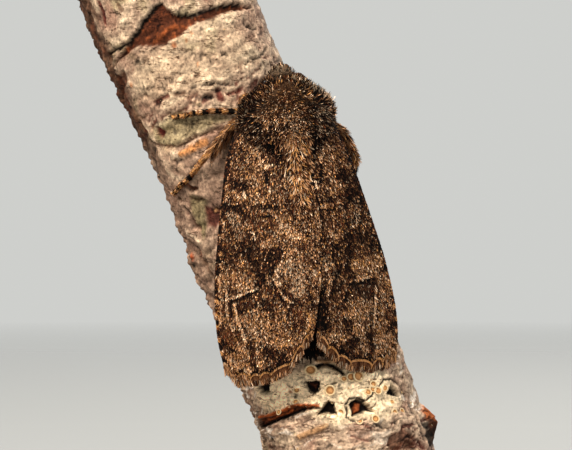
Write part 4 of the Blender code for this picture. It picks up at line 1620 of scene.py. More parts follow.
LEGS = (
    Leg(
        "foreleg_left",
        ((-0.9, 1.2, -2.1), (-2.3, 1.75, -2.0)),
        ((6.62, 14, 0.6), (7.3, 0, 0.22), (7.68, -13, 0.2), (7.95, -27, 0.14)),
    ),
    Leg(
        "midleg_left",
        ((-1.2, 0.1, -2.1), (-2.95, 0.35, -1.9)),
        ((5.2, -13, 1.0), (4.4, -34, 0.26), (4.18, -46, 0.2), (3.98, -58, 0.14)),
        0.75,
        golden=0.4,
    ),
    Leg(
        "hindleg_left",
        ((-1.0, -1.5, -1.9), (-2.9, -2.6, -1.3)),
        ((0.3, -26, 0.8), (-1.6, -30, 0.24), (-3.2, -28, 0.14)),
    ),
    Leg(
        "foreleg_right",
        ((0.9, 1.2, -2.1), (2.5, 1.3, -2.6)),
        ((6.0, 66, 0.75), (6.7, 75, 0.24), (7.5, 87, 0.14)),
    ),
    Leg(
        "midleg_right",
        ((1.2, 0.1, -2.1), (3.55, -0.85, -1.2)),
        ((1.3, 58, 2.75), (-0.8, 59, 0.5), (-2.9, 60, 0.14)),
        0.28,
    ),
    Leg(
        "hindleg_right",
        ((1.0, -1.5, -1.9), (3.0, -3.0, -2.1)),
        ((-2.6, 42, 0.8), (-4.4, 44, 0.24), (-6.0, 45, 0.14)),
    ),
)


@dataclass
class Skin:
    """The one skin of head, thorax, abdomen, palps and legs, under the coat."""

    finish: Material
    voxel: float = 0.075
    soften: tuple = (0.5, 4)
    palp_route: tuple = ((0.36, 2.5, -1.7), (0.38, 2.95, -1.95), (0.3, 3.2, -1.5), (0.24, 3.28, -1.0))
    palp_radii: tuple = (0.2, 0.24, 0.2, 0.13)
    sides: int = 12

    def palp(self, side: Side) -> Array:
        """One palp's centreline in the body frame."""
        path = smooth_path(self.palp_route, 5) * np.array([side.value, 1, 1])
        return path + np.array([0.16, 0.0, 0.0]) * smooth(2.6, 3.2, path[:, 1])[:, None]

    def palp_radius(self, share: Array) -> Array:
        """A palp's radius at shares of its length."""
        return np.interp(share, np.linspace(0, 1, len(self.palp_radii)), self.palp_radii)

    def shells(self) -> list[Shell]:
        """The overlapping shells that are joined into one skin, in the row frame."""
        shells = [trunk.shell(40, 48) for trunk in (THORAX, ABDOMEN, HEAD)]
        paths = [(BODY.out(self.palp(side)), self.palp_radius) for side in Side]
        paths += [(leg.path(), leg.radius) for leg in LEGS]
        for path, radius in paths:
            shells.append(tube(path, radius(np.linspace(0, 1, len(path))), self.sides, np.zeros(3)))
        return shells

    def tints(self, points: Array) -> Array:
        """The skin's colour, which follows the coat's over legs and body."""
        tint = coat_hues(BODY.back(points)) @ HUES * 0.45
        nearest = np.full(len(points), 0.45)
        skip, step = 12, 3
        for leg in LEGS:
            path = leg.path()
            away = np.linalg.norm(points[:, None] - path[None, skip::step], axis=-1)
            near = away.min(1) < nearest
            share = (away.argmin(1) * step + skip) / (len(path) - 1)
            tint[near] = (leg.hues(share) @ HUES * 0.6)[near]
            nearest = np.minimum(nearest, away.min(1))
        return tint

    def build(self) -> None:
        """Joins the shells, remeshes them into one skin and dresses it."""
        source = linked("skin_source", mesh_of("skin_source", Shell.joined(self.shells())))
        remesh = source.modifiers.new("one_skin", "REMESH")
        remesh.mode = "VOXEL"
        remesh.voxel_size = self.voxel * MM
        soften = source.modifiers.new("soften", "SMOOTH")
        soften.factor, soften.iterations = self.soften
        mesh = final_mesh(source, "moth_skin")
        points = np.empty(len(mesh.vertices) * 3)
        mesh.vertices.foreach_get("co", points)
        for attribute in list(mesh.color_attributes):
            mesh.color_attributes.remove(attribute)
        write_tint(mesh, self.tints(points.reshape(-1, 3) / MM))
        nodes = ("thorax", "abdomen", "head", "palp_left", "palp_right", *(leg.name for leg in LEGS))
        place_piece("moth_skin", mesh, self.finish, "body_fur", *nodes)


# ---- coat


def coat_hues(body: Array) -> Array:
    """The share of each hue of the coat over the head, thorax and abdomen.

    Args:
        body: points in the body frame.

    Returns:
        The shares, one row for each point.
    """
    plan = body[:, :2]
    tegula = smooth(0.9, 1.5, np.abs(plan[:, 0]) + 0.18 * mottle(plan, 0.5, 61))
    tegula = tegula * smooth(-3.0, -2.0, plan[:, 1]) * smooth(1.9, 1.2, plan[:, 1])
    weights = Mix.TEGULA.over(Mix.COAT.rows(len(body)), 0.75 * tegula)
    sway = mottles(plan, 0.5, (62, 63))
    above = smooth(-0.2, 0.5, body[:, 2])
    for mark in COAT_MARKS:
        weights = mark.mix.over(weights, mark.cover(plan, sway) * above)
    weights = Mix.DARK.over(weights, 0.35 * smooth(0.3, 1.3, -mottle(body, 0.7, 64)))
    return Mix.LEG.over(weights, 0.7 * smooth(-0.3, -1.2, body[:, 2]))


@dataclass
class Coat:
    """The hair scales over the skin: thorax, head, abdomen, palps and legs."""

    finish: Material
    skin: Skin
    palp_hairs: int = 900
    brush_hairs: int = 2400
    tuft_hairs: int = 3600
    collar: tuple = (0.628, 0.779, 2.726)  # the way of the collar's front, aside and ahead, and its reach
    eye_bare: float = 0.62
    head_from: float = 1.9
    # Behind this y the abdomen's coat is painted black, for the shadow in the notch between the wings.
    abdomen_dark: float = -10.5
    abdomen_tip: float = -11.4
    leg_scale_count: int = 130  # over each millimetre of leg
    leg_hair_count: int = 70

    def front(self, body: Array) -> Array:
        """How near each place is to the sloping front of collar and head, from 0 to 1."""
        aside, ahead, reach = self.collar
        return smooth(1.3, 0.35, reach - (aside * np.abs(body[:, 0]) + ahead * body[:, 1]))

    def combed(self, bed: Bed, rise: Array) -> Bed:
        """Lays the hairs backward over the body, and outward at its front.

        Args:
            bed: places in the body frame.
            rise: how steeply the hairs stand at each place.

        Returns:
            The bed in the row frame, with its hues.
        """
        roots, count = bed.roots, len(bed.roots)
        x, z = roots[:, 0], roots[:, 2]
        aside = 0.22 * np.sign(x) * smooth(0.5, 2.5, np.abs(x))
        flow = np.stack([aside, np.full(count, -1.0), -0.25 * smooth(0.5, -1.0, z)], -1)
        ahead = np.stack([0.7 * x / 2.5, np.full(count, 0.8), 0.1 * z], -1)
        lie = blend(flow, unit(ahead), self.front(roots)[:, None])
        lie = lie + 0.12 * mottles(roots, 0.35, range(70, 73))
        way = unit(blend(squared(lie, bed.out), bed.out, rise[:, None]))
        return BODY.bed(roots, squared(bed.out, way), way, bed.unwrap, coat_hues(roots))

    def place(self, name: str, *shells: Shell, slot: str = "body_fur") -> None:
        """Puts one piece of the coat into the scene."""
        place_piece(name, Shell.joined(list(shells)), self.finish, slot)

    def make_thorax(self) -> None:
        """Lays the shaggy hair scales of the thorax in two lengths."""
        bed = THORAX.bed(spacing=0.056, seed=101)
        front = self.front(bed.roots)
        bed = self.combed(bed, 0.45 + 0.1 * front)
        long = np.random.default_rng(102).random(len(front)) < 0.3
        longer = 1 + 0.3 * front
        shared = {"root_shade": 0.18, "tip_from": 0.45, "bright": 0.45, "clump": 0.12, "tone": 0.35}
        short = TuftSize(0.25, 0.044, 0.15, 0.0, 0.15, 0.2, 0.5, **shared)
        shaggy = TuftSize(0.32, 0.036, 0.2, -0.1, 0.2, 0.22, 0.6, **shared)
        low = grow(HAIR_SCALE, bed.kept(~long), short, 103, longer[~long])
        self.place("thorax_coat", low, grow(HAIR_SCALE, bed.kept(long), shaggy, 104, longer[long]))

    def make_head(self) -> None:
        """Lays the head's short hair scales and the palps' brushes."""
        bed = HEAD.bed(spacing=0.08, seed=111)
        from_eye = np.linalg.norm(np.abs(bed.roots) * [1, 0, 0] + bed.roots * [0, 1, 1] - EYE_AT, axis=1)
        bed = bed.kept((from_eye > self.eye_bare) & (bed.roots[:, 1] > self.head_from))
        bed.unwrap = bed.unwrap * np.array([1.0, 0.7])
        bed = self.combed(bed, 0.25 + 0.15 * self.front(bed.roots))
        size = TuftSize(0.24, 0.046, 0.2, 0.0, 0.15, 0.2, 0.35, root_shade=0.25, bright=0.25, clump=0.15)
        self.place("head_coat", grow(HAIR_SCALE, bed, size, 112), *(self.palp_brush(side) for side in Side))

    def palp_brush(self, side: Side) -> Shell:
        """The hair scales of one palp, bushy below and short at the tip."""
        rng = np.random.default_rng(120 + side.value)
        path = self.skin.palp(side)
        count = self.palp_hairs
        share, turn = rng.uniform(0.05, 1.0, count), rng.uniform(0, 2 * np.pi, count)
        ahead = unit(read(path, share + 0.03) - read(path, share - 0.03))
        first = unit(np.cross(ahead, [1.0, 0.0, 0.0]))
        out = first * np.cos(turn)[:, None] + np.cross(ahead, first) * np.sin(turn)[:, None]
        roots = read(path, share) + out * self.skin.palp_radius(share)[:, None]
        way = unit(ahead + 0.35 * out + np.array([0.0, 0.15, 0.0]))
        unwrap = np.stack([0.02 + 0.46 * (turn / 6.3) + 0.25 * (side.value + 1), 0.74 + 0.24 * share], -1)
        weights = Mix.COAT.over(Mix.DARK.rows(count), smooth(0.5, 0.9, share))
        bed = BODY.bed(roots, squared(out, way), way, unwrap, weights)
        return grow(HAIR_SCALE, bed, TuftSize(0.22, 0.045, 0.15, -0.1, 0.1), 121)

    def make_abdomen(self) -> None:
        """Lays the abdomen's dense short coat, black towards the tip as painted shadow, and the brush at its
        tip.
        """
        bed = ABDOMEN.bed(spacing=0.125, seed=131)
        y = bed.roots[:, 1]
        bed = self.combed(bed, np.full(len(y), 0.1))
        bed.weights = Mix.FRINGE.over(bed.weights, 0.6)
        # Painted shadow: the coat towards the tip is black, for the notch between the wings.
        bed.weights[y < self.abdomen_dark] = Mix.BLACK.shares
        bed = bed.kept(y >= self.abdomen_tip)
        short = TuftSize(0.38, 0.08, 0.2, 0.0, 0.1, 0.2, 0.2)
        self.place("abdomen_coat", grow(HAIR_SCALE, bed, short, 132), self.brush())

    def brush(self) -> Shell:
        """The long brush at the abdomen's tip, between the hindwings: dark hairs, painted black for the
        shadow in the notch between the wings.
        """
        rng = np.random.default_rng(133)
        count = self.brush_hairs
        turn, share = rng.uniform(0, 2 * np.pi, count), np.sqrt(rng.uniform(0, 1, count))
        y = rng.uniform(-12.3, -11.3, count)
        x, z = 0.85 * share * np.cos(turn), -0.25 + 0.4 * share * np.sin(turn)
        aside, up = 0.3 * np.cos(turn) * share, 0.1 + 0.16 * np.sin(turn)
        way = unit(np.stack([aside, np.full(count, -1.0), up], -1))
        out = unit(np.stack([0.5 * x, 0.0 * x, np.ones(count)], -1))
        unwrap = np.stack([0.5 + 0.6 * x, 0.02 + 0.08 * (-11.3 - y)], -1).clip(0.01, 0.99)
        # Painted shadow: all the brush's hairs are black, for the shade in the notch.
        bed = BODY.bed(np.stack([x, y, z], -1), squared(out, way), way, unwrap, Mix.BLACK.rows(count))
        size = TuftSize(2.75, 0.09, 0.0, -0.01, 0.06, 0.08, 0.06, root_shade=0.5)
        return grow(HAIR_SCALE, bed, size, 133)

    def make_tuft(self) -> None:
        """Lays the ochre tuft that spills from the thorax over the roots of the wings."""
        rng = np.random.default_rng(141)
        count = self.tuft_hairs
        share = rng.uniform(0, 1, count)
        spread = rng.normal(0, 1, count)
        x = blend(0.05, 0.1, share) + spread * blend(0.4, 0.2, share)
        y = blend(-0.9, -5.6, share**1.3) + rng.uniform(-0.2, 0.2, count)
        lift = np.interp(-y, [-2.0, 2.6, 3.4, 4.4], [0.0, 0.3, 0.16, 0.02])
        height = np.maximum(self.top(x, y) - 0.12, ROOF.height(x, y)) + 0.3 * lift
        out = unit(np.stack([0.1 * x, -0.35 * smooth(0.9, 0.2, share), np.ones(count)], -1))
        way = unit(np.stack([0.03 + 0.1 * spread, np.full(count, -1.0), -0.28 * smooth(1.0, 0.1, share)], -1))
        unwrap = np.stack([0.5 + 0.16 * spread.clip(-2.8, 2.8), 0.03 + 0.94 * share], -1)
        dark = np.maximum(smooth(0.7, 1.6, np.abs(spread)), smooth(0.5, 1.0, share))
        ochre = Mix.TAN.over(Mix.ORANGE.over(Mix.COAT.rows(count), 0.3), 0.3)
        weights = Mix.GROUND.over(ochre, 0.75 * dark)
        bed = BODY.bed(np.stack([x, y, height], -1), squared(out, way), way, unwrap, weights)
        size = TuftSize(0.36, 0.05, 0.2, -0.05, 0.2, 0.25, 0.3, root_shade=0.3, bright=0.22, clump=0.25)
        self.place("thorax_tuft", grow(HAIR_SCALE, bed, size, 142))

    def top(self, x: Array, y: Array) -> Array:
        """Height of the coat over the thorax's middle."""
        half, top, level, _ = THORAX.read(y)
        return level + (top - level) * np.sqrt(np.clip(1 - (x / half) ** 2, 0, 1))

    def make_legs(self) -> None:
        """Lays the legs' flat scales and the long hairs behind femur and tibia."""
        shells = []
        for index, leg in enumerate(LEGS):
            rng = np.random.default_rng(150 + index)
            shells += [self.leg_scales(leg, index, rng), self.leg_fringe(leg, index, rng)]
        self.place("leg_coat", *shells, slot="leg_scales")

    def leg_bed(self, leg: Leg, share: Array, turn: Array, lean: float, strip: float) -> Bed:
        """Places on a leg where hairs grow.

        Args:
            leg: the leg.
            share: how far along it each place lies.
            turn: the angle round it.
            lean: how far the hairs stand off it.
            strip: where the unwrap's strip for them begins.

        Returns:
            The bed in the row frame.
        """
        path = leg.path()
        ahead = unit(read(path, share + 0.02) - read(path, share - 0.02))
        first = unit(np.cross(ahead, [0.0, -1.0, 0.05]))
        out = first * np.sin(turn)[:, None] + np.cross(ahead, first) * np.cos(turn)[:, None]
        roots = read(path, share) + out * leg.radius(share)[:, None]
        way = unit(ahead + lean * out)
        unwrap = np.stack([(turn / (2 * np.pi)) % 1 * 0.07 + strip, share * 0.96 + 0.02], -1)
        return Bed(roots, squared(out, way), way, unwrap, leg.hues(share))

    def leg_scales(self, leg: Leg, index: int, rng: np.random.Generator) -> Shell:
        """The close scales of one leg."""
        count = int(leg.length() * self.leg_scale_count)
        share, turn = rng.uniform(0.02, 0.995, count), rng.uniform(0, 2 * np.pi, count)
        bed = self.leg_bed(leg, share, turn, 0.12, 0.16 * index + 0.01)
        size = TuftSize(0.17, 0.06, 0.15, 0.0, 0.05, 0.2, 0.15, root_shade=0.6, bright=0.15)
        return grow(HAIR_SCALE, bed, size, 160 + index)

    def leg_fringe(self, leg: Leg, index: int, rng: np.random.Generator) -> Shell:
        """The fringe of hairs behind one leg's tibia, and behind its femur where it is long."""
        knee, ankle = leg.marks()
        count = int(leg.length() * self.leg_hair_count)
        share = rng.uniform(0.02, ankle * 0.99, count)
        rng.uniform(0, 2 * np.pi, count)  # unused, but it keeps the order of the draws
        turn = rng.normal(-np.pi / 2, 0.7, count)
        bed = self.leg_bed(leg, share, turn, 0.6, 0.16 * index + 0.09)
        bed = bed.kept(share > (0.0 if leg.fringe > 0.5 else knee))
        bed.weights = Mix.LEG.rows(len(bed.roots))
        size = TuftSize(leg.fringe, 0.05, 0.05, -0.1, 0.12, 0.3, 0.12, root_shade=0.5, bright=0.22)
        return grow(HAIR, bed, size, 170 + index)

    def build(self) -> None:
        """Lays the whole coat."""
        self.make_thorax()
        self.make_head()
        self.make_abdomen()
        self.make_tuft()
        self.make_legs()


# ---- small parts of the moth


REPEAT_LINKS = """
start.Body > body.Object
start.Geometry > points.Mesh
points.Points > spread.Points
body.Geometry > spread.Instance
start.Seed > chance.Seed
chance.Value > spin.Vector
start.Sway > spin.Scale
spin.Vector > turned.Euler
way.Attribute > aim.Vector
aim.Rotation > rotate.Rotation
turned.Rotation > rotate.Rotate By
rotate.Rotation > spread.Rotation
size.Attribute > spread.Scale
spread.Instances > real.Geometry
real.Geometry > dress.Geometry
dress.Geometry > end.Geometry
"""


@dataclass
class Repeated:
    """One small body repeated on points by Geometry Nodes: turned to a way, scaled and tinted."""

    name: str
    seed: int = 1
    sway: float = 0.2

    def tree(self, material: Material) -> bpy.types.NodeTree:
        """Builds the node tree, which ends in real geometry with its material set."""
        tree = bpy.data.node_groups.new(f"{self.name}_repeat", "GeometryNodeTree")
        for name, kind in (("Geometry", "Geometry"), ("Body", "Object"), ("Sway", "Float"), ("Seed", "Int")):
            tree.interface.new_socket(name, in_out="INPUT", socket_type=f"NodeSocket{kind}")
        tree.interface.new_socket("Geometry", in_out="OUTPUT", socket_type="NodeSocketGeometry")
        vector = {"data_type": "FLOAT_VECTOR"}
        kinds = {
            "start": ("NodeGroupInput", {}),
            "end": ("NodeGroupOutput", {}),
            "body": ("GeometryNodeObjectInfo", {}),
            "points": ("GeometryNodeMeshToPoints", {}),
            "spread": ("GeometryNodeInstanceOnPoints", {}),
            "way": ("GeometryNodeInputNamedAttribute", {**vector, "Name": "way"}),
            "size": ("GeometryNodeInputNamedAttribute", {**vector, "Name": "size"}),
            "aim": ("FunctionNodeAlignRotationToVector", {"axis": "Z"}),
            "chance": ("FunctionNodeRandomValue", {**vector, "Min": (-1.0,) * 3, "Max": (1.0,) * 3}),
            "spin": ("ShaderNodeVectorMath", {"operation": "SCALE"}),
            "turned": ("FunctionNodeEulerToRotation", {}),
            "rotate": ("FunctionNodeRotateRotation", {"rotation_space": "LOCAL"}),
            "real": ("GeometryNodeRealizeInstances", {}),
            "dress": ("GeometryNodeSetMaterial", {"Material": material}),
        }
        nodes = {name: add_node(tree, kind, **values) for name, (kind, values) in kinds.items()}
        for link in REPEAT_LINKS.strip().splitlines():
            (first, output), (second, socket) = (place.split(".") for place in link.split(" > "))
            tree.links.new(nodes[first].outputs[output], nodes[second].inputs[socket])
        return tree

    def made(self, body: Shell, places: Array, ways: Array, sizes: Array, material: Material) -> Mesh:
        """Repeats a body.

        Args:
            body: the body, standing on the origin along +Z, in millimetres.
            places: where each copy stands, in the row frame.
            ways: which way each copy's Z points.
            sizes: each copy's scale along its three axes.
            material: its finish.

        Returns:
            One mesh of all the copies.
        """
        pattern = bpy.data.objects.new(f"{self.name}_body", mesh_of(f"{self.name}_body", body))
        seat = bpy.data.meshes.new(f"{self.name}_places")
        seat.from_pydata((places * MM).tolist(), [], [])
        for key, values in (("way", ways), ("size", sizes)):
            layer = seat.attributes.new(key, "FLOAT_VECTOR", "POINT")
            layer.data.foreach_set("vector", np.asarray(values, np.float32).ravel())
        holder = linked(f"{self.name}_places", seat)
        spread = holder.modifiers.new("repeat", "NODES")
        spread.node_group = self.tree(material)
        items = spread.node_group.interface.items_tree
        sockets = {item.name: item.identifier for item in items if item.in_out == "INPUT"}
        for socket, value in (("Body", pattern), ("Sway", float(self.sway)), ("Seed", self.seed)):
            spread[sockets[socket]] = value
        mesh = final_mesh(holder, self.name)
        mesh.shade_smooth()
        bpy.data.objects.remove(pattern)
        return mesh


def turned_body(profile: tuple, sides: int, tints: tuple) -> Shell:
    """A round body from (radius, height) rings, closed at both ends, with one tint per ring."""
    turns = 2 * np.pi * np.arange(sides) / sides
    rings = [np.stack([r * np.cos(turns), r * np.sin(turns), np.full(sides, z)], -1) for r, z in profile]
    points = np.vstack([*rings, [0, 0, profile[0][1]], [0, 0, profile[-1][1]]])
    colours = [linear(colour) for colour in tints]
    tint = np.vstack([np.repeat(colours, sides, axis=0), colours[0], colours[-1]])
    return Shell(points, ring_faces(len(profile), sides), tint)


@dataclass
class Feelers:
    """Both antennae: fine threads of many short joints, laid back along the thorax."""

    finish: Material
    route: tuple = (
        (0.62, 2.85, 0.95), (1.1, 2.85, 0.75), (1.5, 2.45, 0.3), (1.85, 2.1, -0.3), (2.3, 1.6, -0.75),
        (2.9, 0.8, -0.85), (3.15, -0.2, -0.6), (3.3, -1.6, -0.5), (3.45, -3.6, -0.7), (3.65, -5.6, -0.85),
    )
    joint: float = 0.16
    thick: tuple = (0.13, 0.07)
    profile: tuple = ((0.3, -0.55), (0.85, -0.42), (1.0, 0.05), (0.8, 0.4), (0.3, 0.55))
    tints: tuple = ((60, 42, 30), (52, 36, 27), (40, 28, 21), (150, 108, 70), (60, 42, 30))

    def build(self) -> None:
        """Strings the joints along each antenna's route."""
        body = turned_body(self.profile, 8, self.tints)
        for side in Side:
            path = BODY.out(smooth_path(self.route, 12) * np.array([side.value, 1, 1]))
            steps = lengths_of(path)
            count = int(steps[-1] / self.joint)
            share = (np.arange(count) + 0.5) / count
            places = spread_over(path, steps, share * steps[-1])
            radius = blend(*self.thick, smooth(0.0, 1.0, share))
            radius = radius * (1 + 0.7 * np.exp(-((share / 0.02) ** 2)))
            sizes = np.stack([radius, radius, np.full(count, self.joint * 1.02)], 1)
            name = f"antenna_{side.word}"
            ways = unit(np.gradient(places, axis=0))
            mesh = Repeated(name, 5, 0.06).made(body, places, ways, sizes, self.finish)
            place_piece(name, mesh, self.finish, "leg_scales", name)


@dataclass
class SmallParts:
    """The hard small parts: eyes, claws, tibial spurs and the coiled tongue."""

    finish: Material
    eyes: Material
    eye_radius: float = 0.56
    claw_tint: tuple = (44, 26, 16)
    spur_tint: tuple = (170, 118, 74)
    tongue_tint: tuple = (92, 54, 30)
    tongue_at: tuple = (0.0, 2.95, -1.35)
    tongue_turns: float = 3.2

    def make_eyes(self) -> None:
        """Builds both domed compound eyes."""
        rings, sides = 20, 36
        polar = np.repeat(np.linspace(0.02, np.pi - 0.02, rings), sides)
        turn = np.tile(2 * np.pi * np.arange(sides) / sides, rings)
        ball = np.stack([np.cos(polar), np.sin(polar) * np.sin(turn), np.sin(polar) * np.cos(turn)], -1)
        faces = [face[:, ::-1] for face in ring_faces(rings, sides)]
        for side in Side:
            points = np.array([side.value, 1, 1]) * (EYE_AT - [0.04, 0.1, 0.1]) + ball * self.eye_radius
            points = np.vstack([points, points[:sides].mean(0), points[-sides:].mean(0)])
            shell = Shell(BODY.out(points), faces, np.full(points.shape, 0.1))
            name = f"eye_{side.word}"
            place_piece(name, shell, self.eyes, "eye_facets", name)

    def make_claws(self) -> None:
        """Builds two hooked claws on each foot, and two spurs on each middle and hind tibia."""
        shells = []
        t = np.linspace(0, 1, 7)[:, None]
        for leg in LEGS:
            path = leg.path()
            end, ahead = path[-1], unit(path[-1] - path[-6])
            out = unit(end - PERCH.centre(np.array(end[2] - PERCH_MIDDLE_HEIGHT)))
            side = np.cross(ahead, out)
            for turn in (-1, 1):
                claw = end - ahead * 0.03 + ahead * 0.26 * t + side * turn * (0.05 + 0.16 * t)
                claw = claw + out * (0.04 - 0.14 * t**2)
                shells.append(tube(claw, np.linspace(0.045, 0.012, 7), 8, linear(self.claw_tint)))
            if leg.name.startswith("fore"):
                continue
            _, ankle = leg.marks()
            for share, length, sign in ((ankle - 0.02, 0.85, 1), (ankle - 0.03, 0.6, -1)):
                root = read(path, np.array(share))
                way = unit(read(path, np.array(share + 0.03)) - root)
                spur = root + way * length * t + sign * unit(np.cross(way, out)) * (0.12 + 0.22 * t)
                shells.append(tube(spur, np.linspace(0.06, 0.02, 7), 8, linear(self.spur_tint)))
        place_piece("claws", Shell.joined(shells), self.finish, "leg_scales")

    def make_tongue(self) -> None:
        """Coils the tongue between the palps."""
        turn = np.linspace(0, self.tongue_turns * 2 * np.pi, 90)
        radius = 0.46 - 0.018 * turn
        coil = np.stack([0 * turn, radius * np.cos(turn), -radius * np.sin(turn)], -1)
        path = BODY.out(np.array(self.tongue_at) + coil)
        shell = tube(path, np.linspace(0.055, 0.035, len(turn)), 10, linear(self.tongue_tint))
        place_piece("tongue", shell, self.finish, "leg_scales")

    def build(self) -> None:
        """Builds them all."""
        self.make_eyes()
        self.make_claws()
        self.make_tongue()


# ---- bark


class Tone(Enum):
    """The bark's colours, as sRGB."""

    CREAM = (206, 178, 148)
    BUFF = (190, 140, 92)
    PINK = (164, 126, 104)
    UMBER = (92, 62, 44)
    SHADOW = (18, 11, 8)
    OLIVE = (136, 124, 84)
    FOXY = (150, 78, 40)
    RUST = (84, 43, 25)
    ASH = (142, 130, 118)
    WINE = (88, 36, 28)
    LEAD = (62, 50, 44)
    SALT = (255, 226, 184)
    SAND = (222, 196, 158)
    COPPER = (196, 112, 62)
    CLAY = (190, 124, 78)
    APRICOT = (206, 140, 86)
    GINGER = (172, 92, 44)
    EMBER = (214, 92, 36)
    SIENNA = (176, 88, 42)
    BRICK = (168, 84, 40)
    CHALK = (246, 228, 208)

    def over(self, under: Array, share: Array, light: float = 1.0) -> Array:
        """Lays this colour over others, by a share for each place."""
        return blend(under, linear(self.value) * light, share[:, None])


@dataclass(frozen=True)
class Patch:
    """An area of bark within an outline of (rise, angle): its colour and its level."""

    tone: Tone
    outline: Array
    height: float
    strength: float
    soft: float
    deep: float = -0.2
    lip: float = 0.06

    def within(self, places: Array) -> Array:
        """How far flat places lie inside the outline, negative outside it."""
        corners = PERCH.flat(self.outline)
        away = distance_to(np.vstack([corners, corners[:1]]), places)
        hit = np.zeros(len(places), bool)
        for (x0, y0), (x1, y1) in zip(corners, np.roll(corners, -1, axis=0)):
            crosses = (y0 > places[:, 1]) != (y1 > places[:, 1])
            reach = x0 + (places[:, 1] - y0) * (x1 - x0) / (y1 - y0 if y1 != y0 else 1e-9)
            hit ^= crosses & (places[:, 0] < reach)
        return np.where(hit, away, -away)

    def lay(self, places: Array, grains: Array, height: Array, colour: Array) -> tuple[Array, Array]:
        """Lays the patch into the bark's height and colour; a deep one has a lip and crumbs."""
        within = self.within(places)
        share = smooth(-self.soft, self.soft, within)
        height = height + self.height * share
        inner = linear(self.tone.value)
        if self.height < self.deep:
            height = height + self.lip * np.exp(-(((within + self.soft * 1.5) / 0.12) ** 2))
            if self.tone is not Tone.SHADOW:
                inner = Tone.FOXY.over(inner, 0.6 * grains)
        return height, blend(colour, inner, self.strength * share[:, None])


@dataclass(frozen=True)
class Groove:
    """A line on the bark that is cut in (negative) or raised, along a route of (rise, angle)."""

    tone: Tone
    route: Array
    width: float
    height: float
    strength: float = 0.8

    def lay(self, places: Array, height: Array, colour: Array) -> tuple[Array, Array]:
        """Lays the line into the bark's height and colour."""
        away = distance_to(PERCH.flat(self.route), places)
        share = 1 - smooth(self.width * 0.25, self.width * 0.75, away)
        return height + self.height * share, self.tone.over(colour, self.strength * share)


PATCHES = tuple(Patch(Tone[tone], outline, *sizes) for tone, outline, sizes in rows_of("""
SALT: -8.6 -55, -8.8 -14, -9.2 20, -10.4 42, -12.6 55, -13.3 30, -12.8 -4, -11.3 -20, -10.8 -56: 0 0.95 0.4
CREAM: -12.9 -20, -12.9 0, -13.6 30, -14.6 40, -15.2 10, -14 -20: 0 0.6 0.4
SAND: 9.9 -50, 11.9 -38, 11.9 40, 9 50, 8.6 -30: 0 0.35 0.6
RUST: 12.3 -62, 13.03 -39, 13.43 -26, 13.98 -14, 14.28 -3, 13.54 1, 13.14 5, 12.87 15, 12.78 26, 12.74 39,\
12.56 53, 12.15 66, 12.19 56, 12.35 40, 12.36 25, 12.45 16, 12.39 7, 12.13 -1, 12.07 -12, 12.25 -23,\
12.7 -34, 12.5 -48: -0.3 1 0.06
OLIVE: 8 -52, 8.2 -26, 7.6 -10, 6.85 5, 6.5 6, 6.5 -20, 6.45 -41, 7 -52: -0.05 0.65 0.25
OLIVE: 3.46 -44, 2.83 -32, 1.99 -38, 0.65 -50, 2.32 -52: -0.03 0.7 0.2
WINE: 2.5 -36, 1.86 -24, 1.3 -26, 0.94 -36, 1.31 -41, 1.91 -39: -0.14 0.9 0.1
RUST: 10.3 -82, 11.73 -64, 11.77 -51, 11.2 -53, 10.7 -68: -0.2 0.9 0.12
RUST: -11.17 -68, -11.03 -47, -10.85 -32, -11 -20, -11.4 -9, -11.3 -22, -11.28 -34, -11.55 -49,\
-11.86 -73: -0.3 1 0.06
RUST: -14.2 34, -14.25 46, -14.8 55, -15.6 52, -15.3 30, -14.8 26: -0.1 0.85 0.12
SHADOW: -8.62 -54, -8.55 -46, -8.95 -40, -9.6 -43, -9.45 -53: -0.5 1 0.06
SHADOW: -9.62 -15, -9.78 -5, -10.3 -6, -10.62 -12, -10.1 -15: -0.45 1 0.05
RUST: -9.8 -13, -9.92 -7, -10.2 -9: 0.12 0.85 0.06
SHADOW: -11.66 -13, -11.1 -4, -11.35 -1, -12.1 -1, -11.85 -9: -0.5 1 0.05
SHADOW: -11.72 9, -11.6 15, -11.86 19, -12.66 25, -12.42 16, -12.45 8: -0.5 1 0.05
FOXY: -11.98 10, -11.82 14, -12.02 17, -12.28 15, -12.3 10: 0.14 0.95 0.06
SHADOW: -11.98 39, -11.5 46, -11.95 51, -12.4 52, -12.15 45: -0.4 1 0.05
CREAM: 6.28 -42, 5.99 -31, 5.54 -33, 5.77 -45: 0.08 0.8 0.06
PINK: -12.9 2, -12.7 16, -13.5 20, -14.3 14, -14.2 2: 0 0.7 0.25
GINGER: -13.7 74, -13.4 86, -13.9 97, -14.6 101, -15.3 97, -15.9 88, -15.5 78: 0.05 1 0.2
SHADOW: -14.3 68, -14.2 78, -15.2 92, -16 90, -15.9 70: -0.1 0.9 0.15
"""))
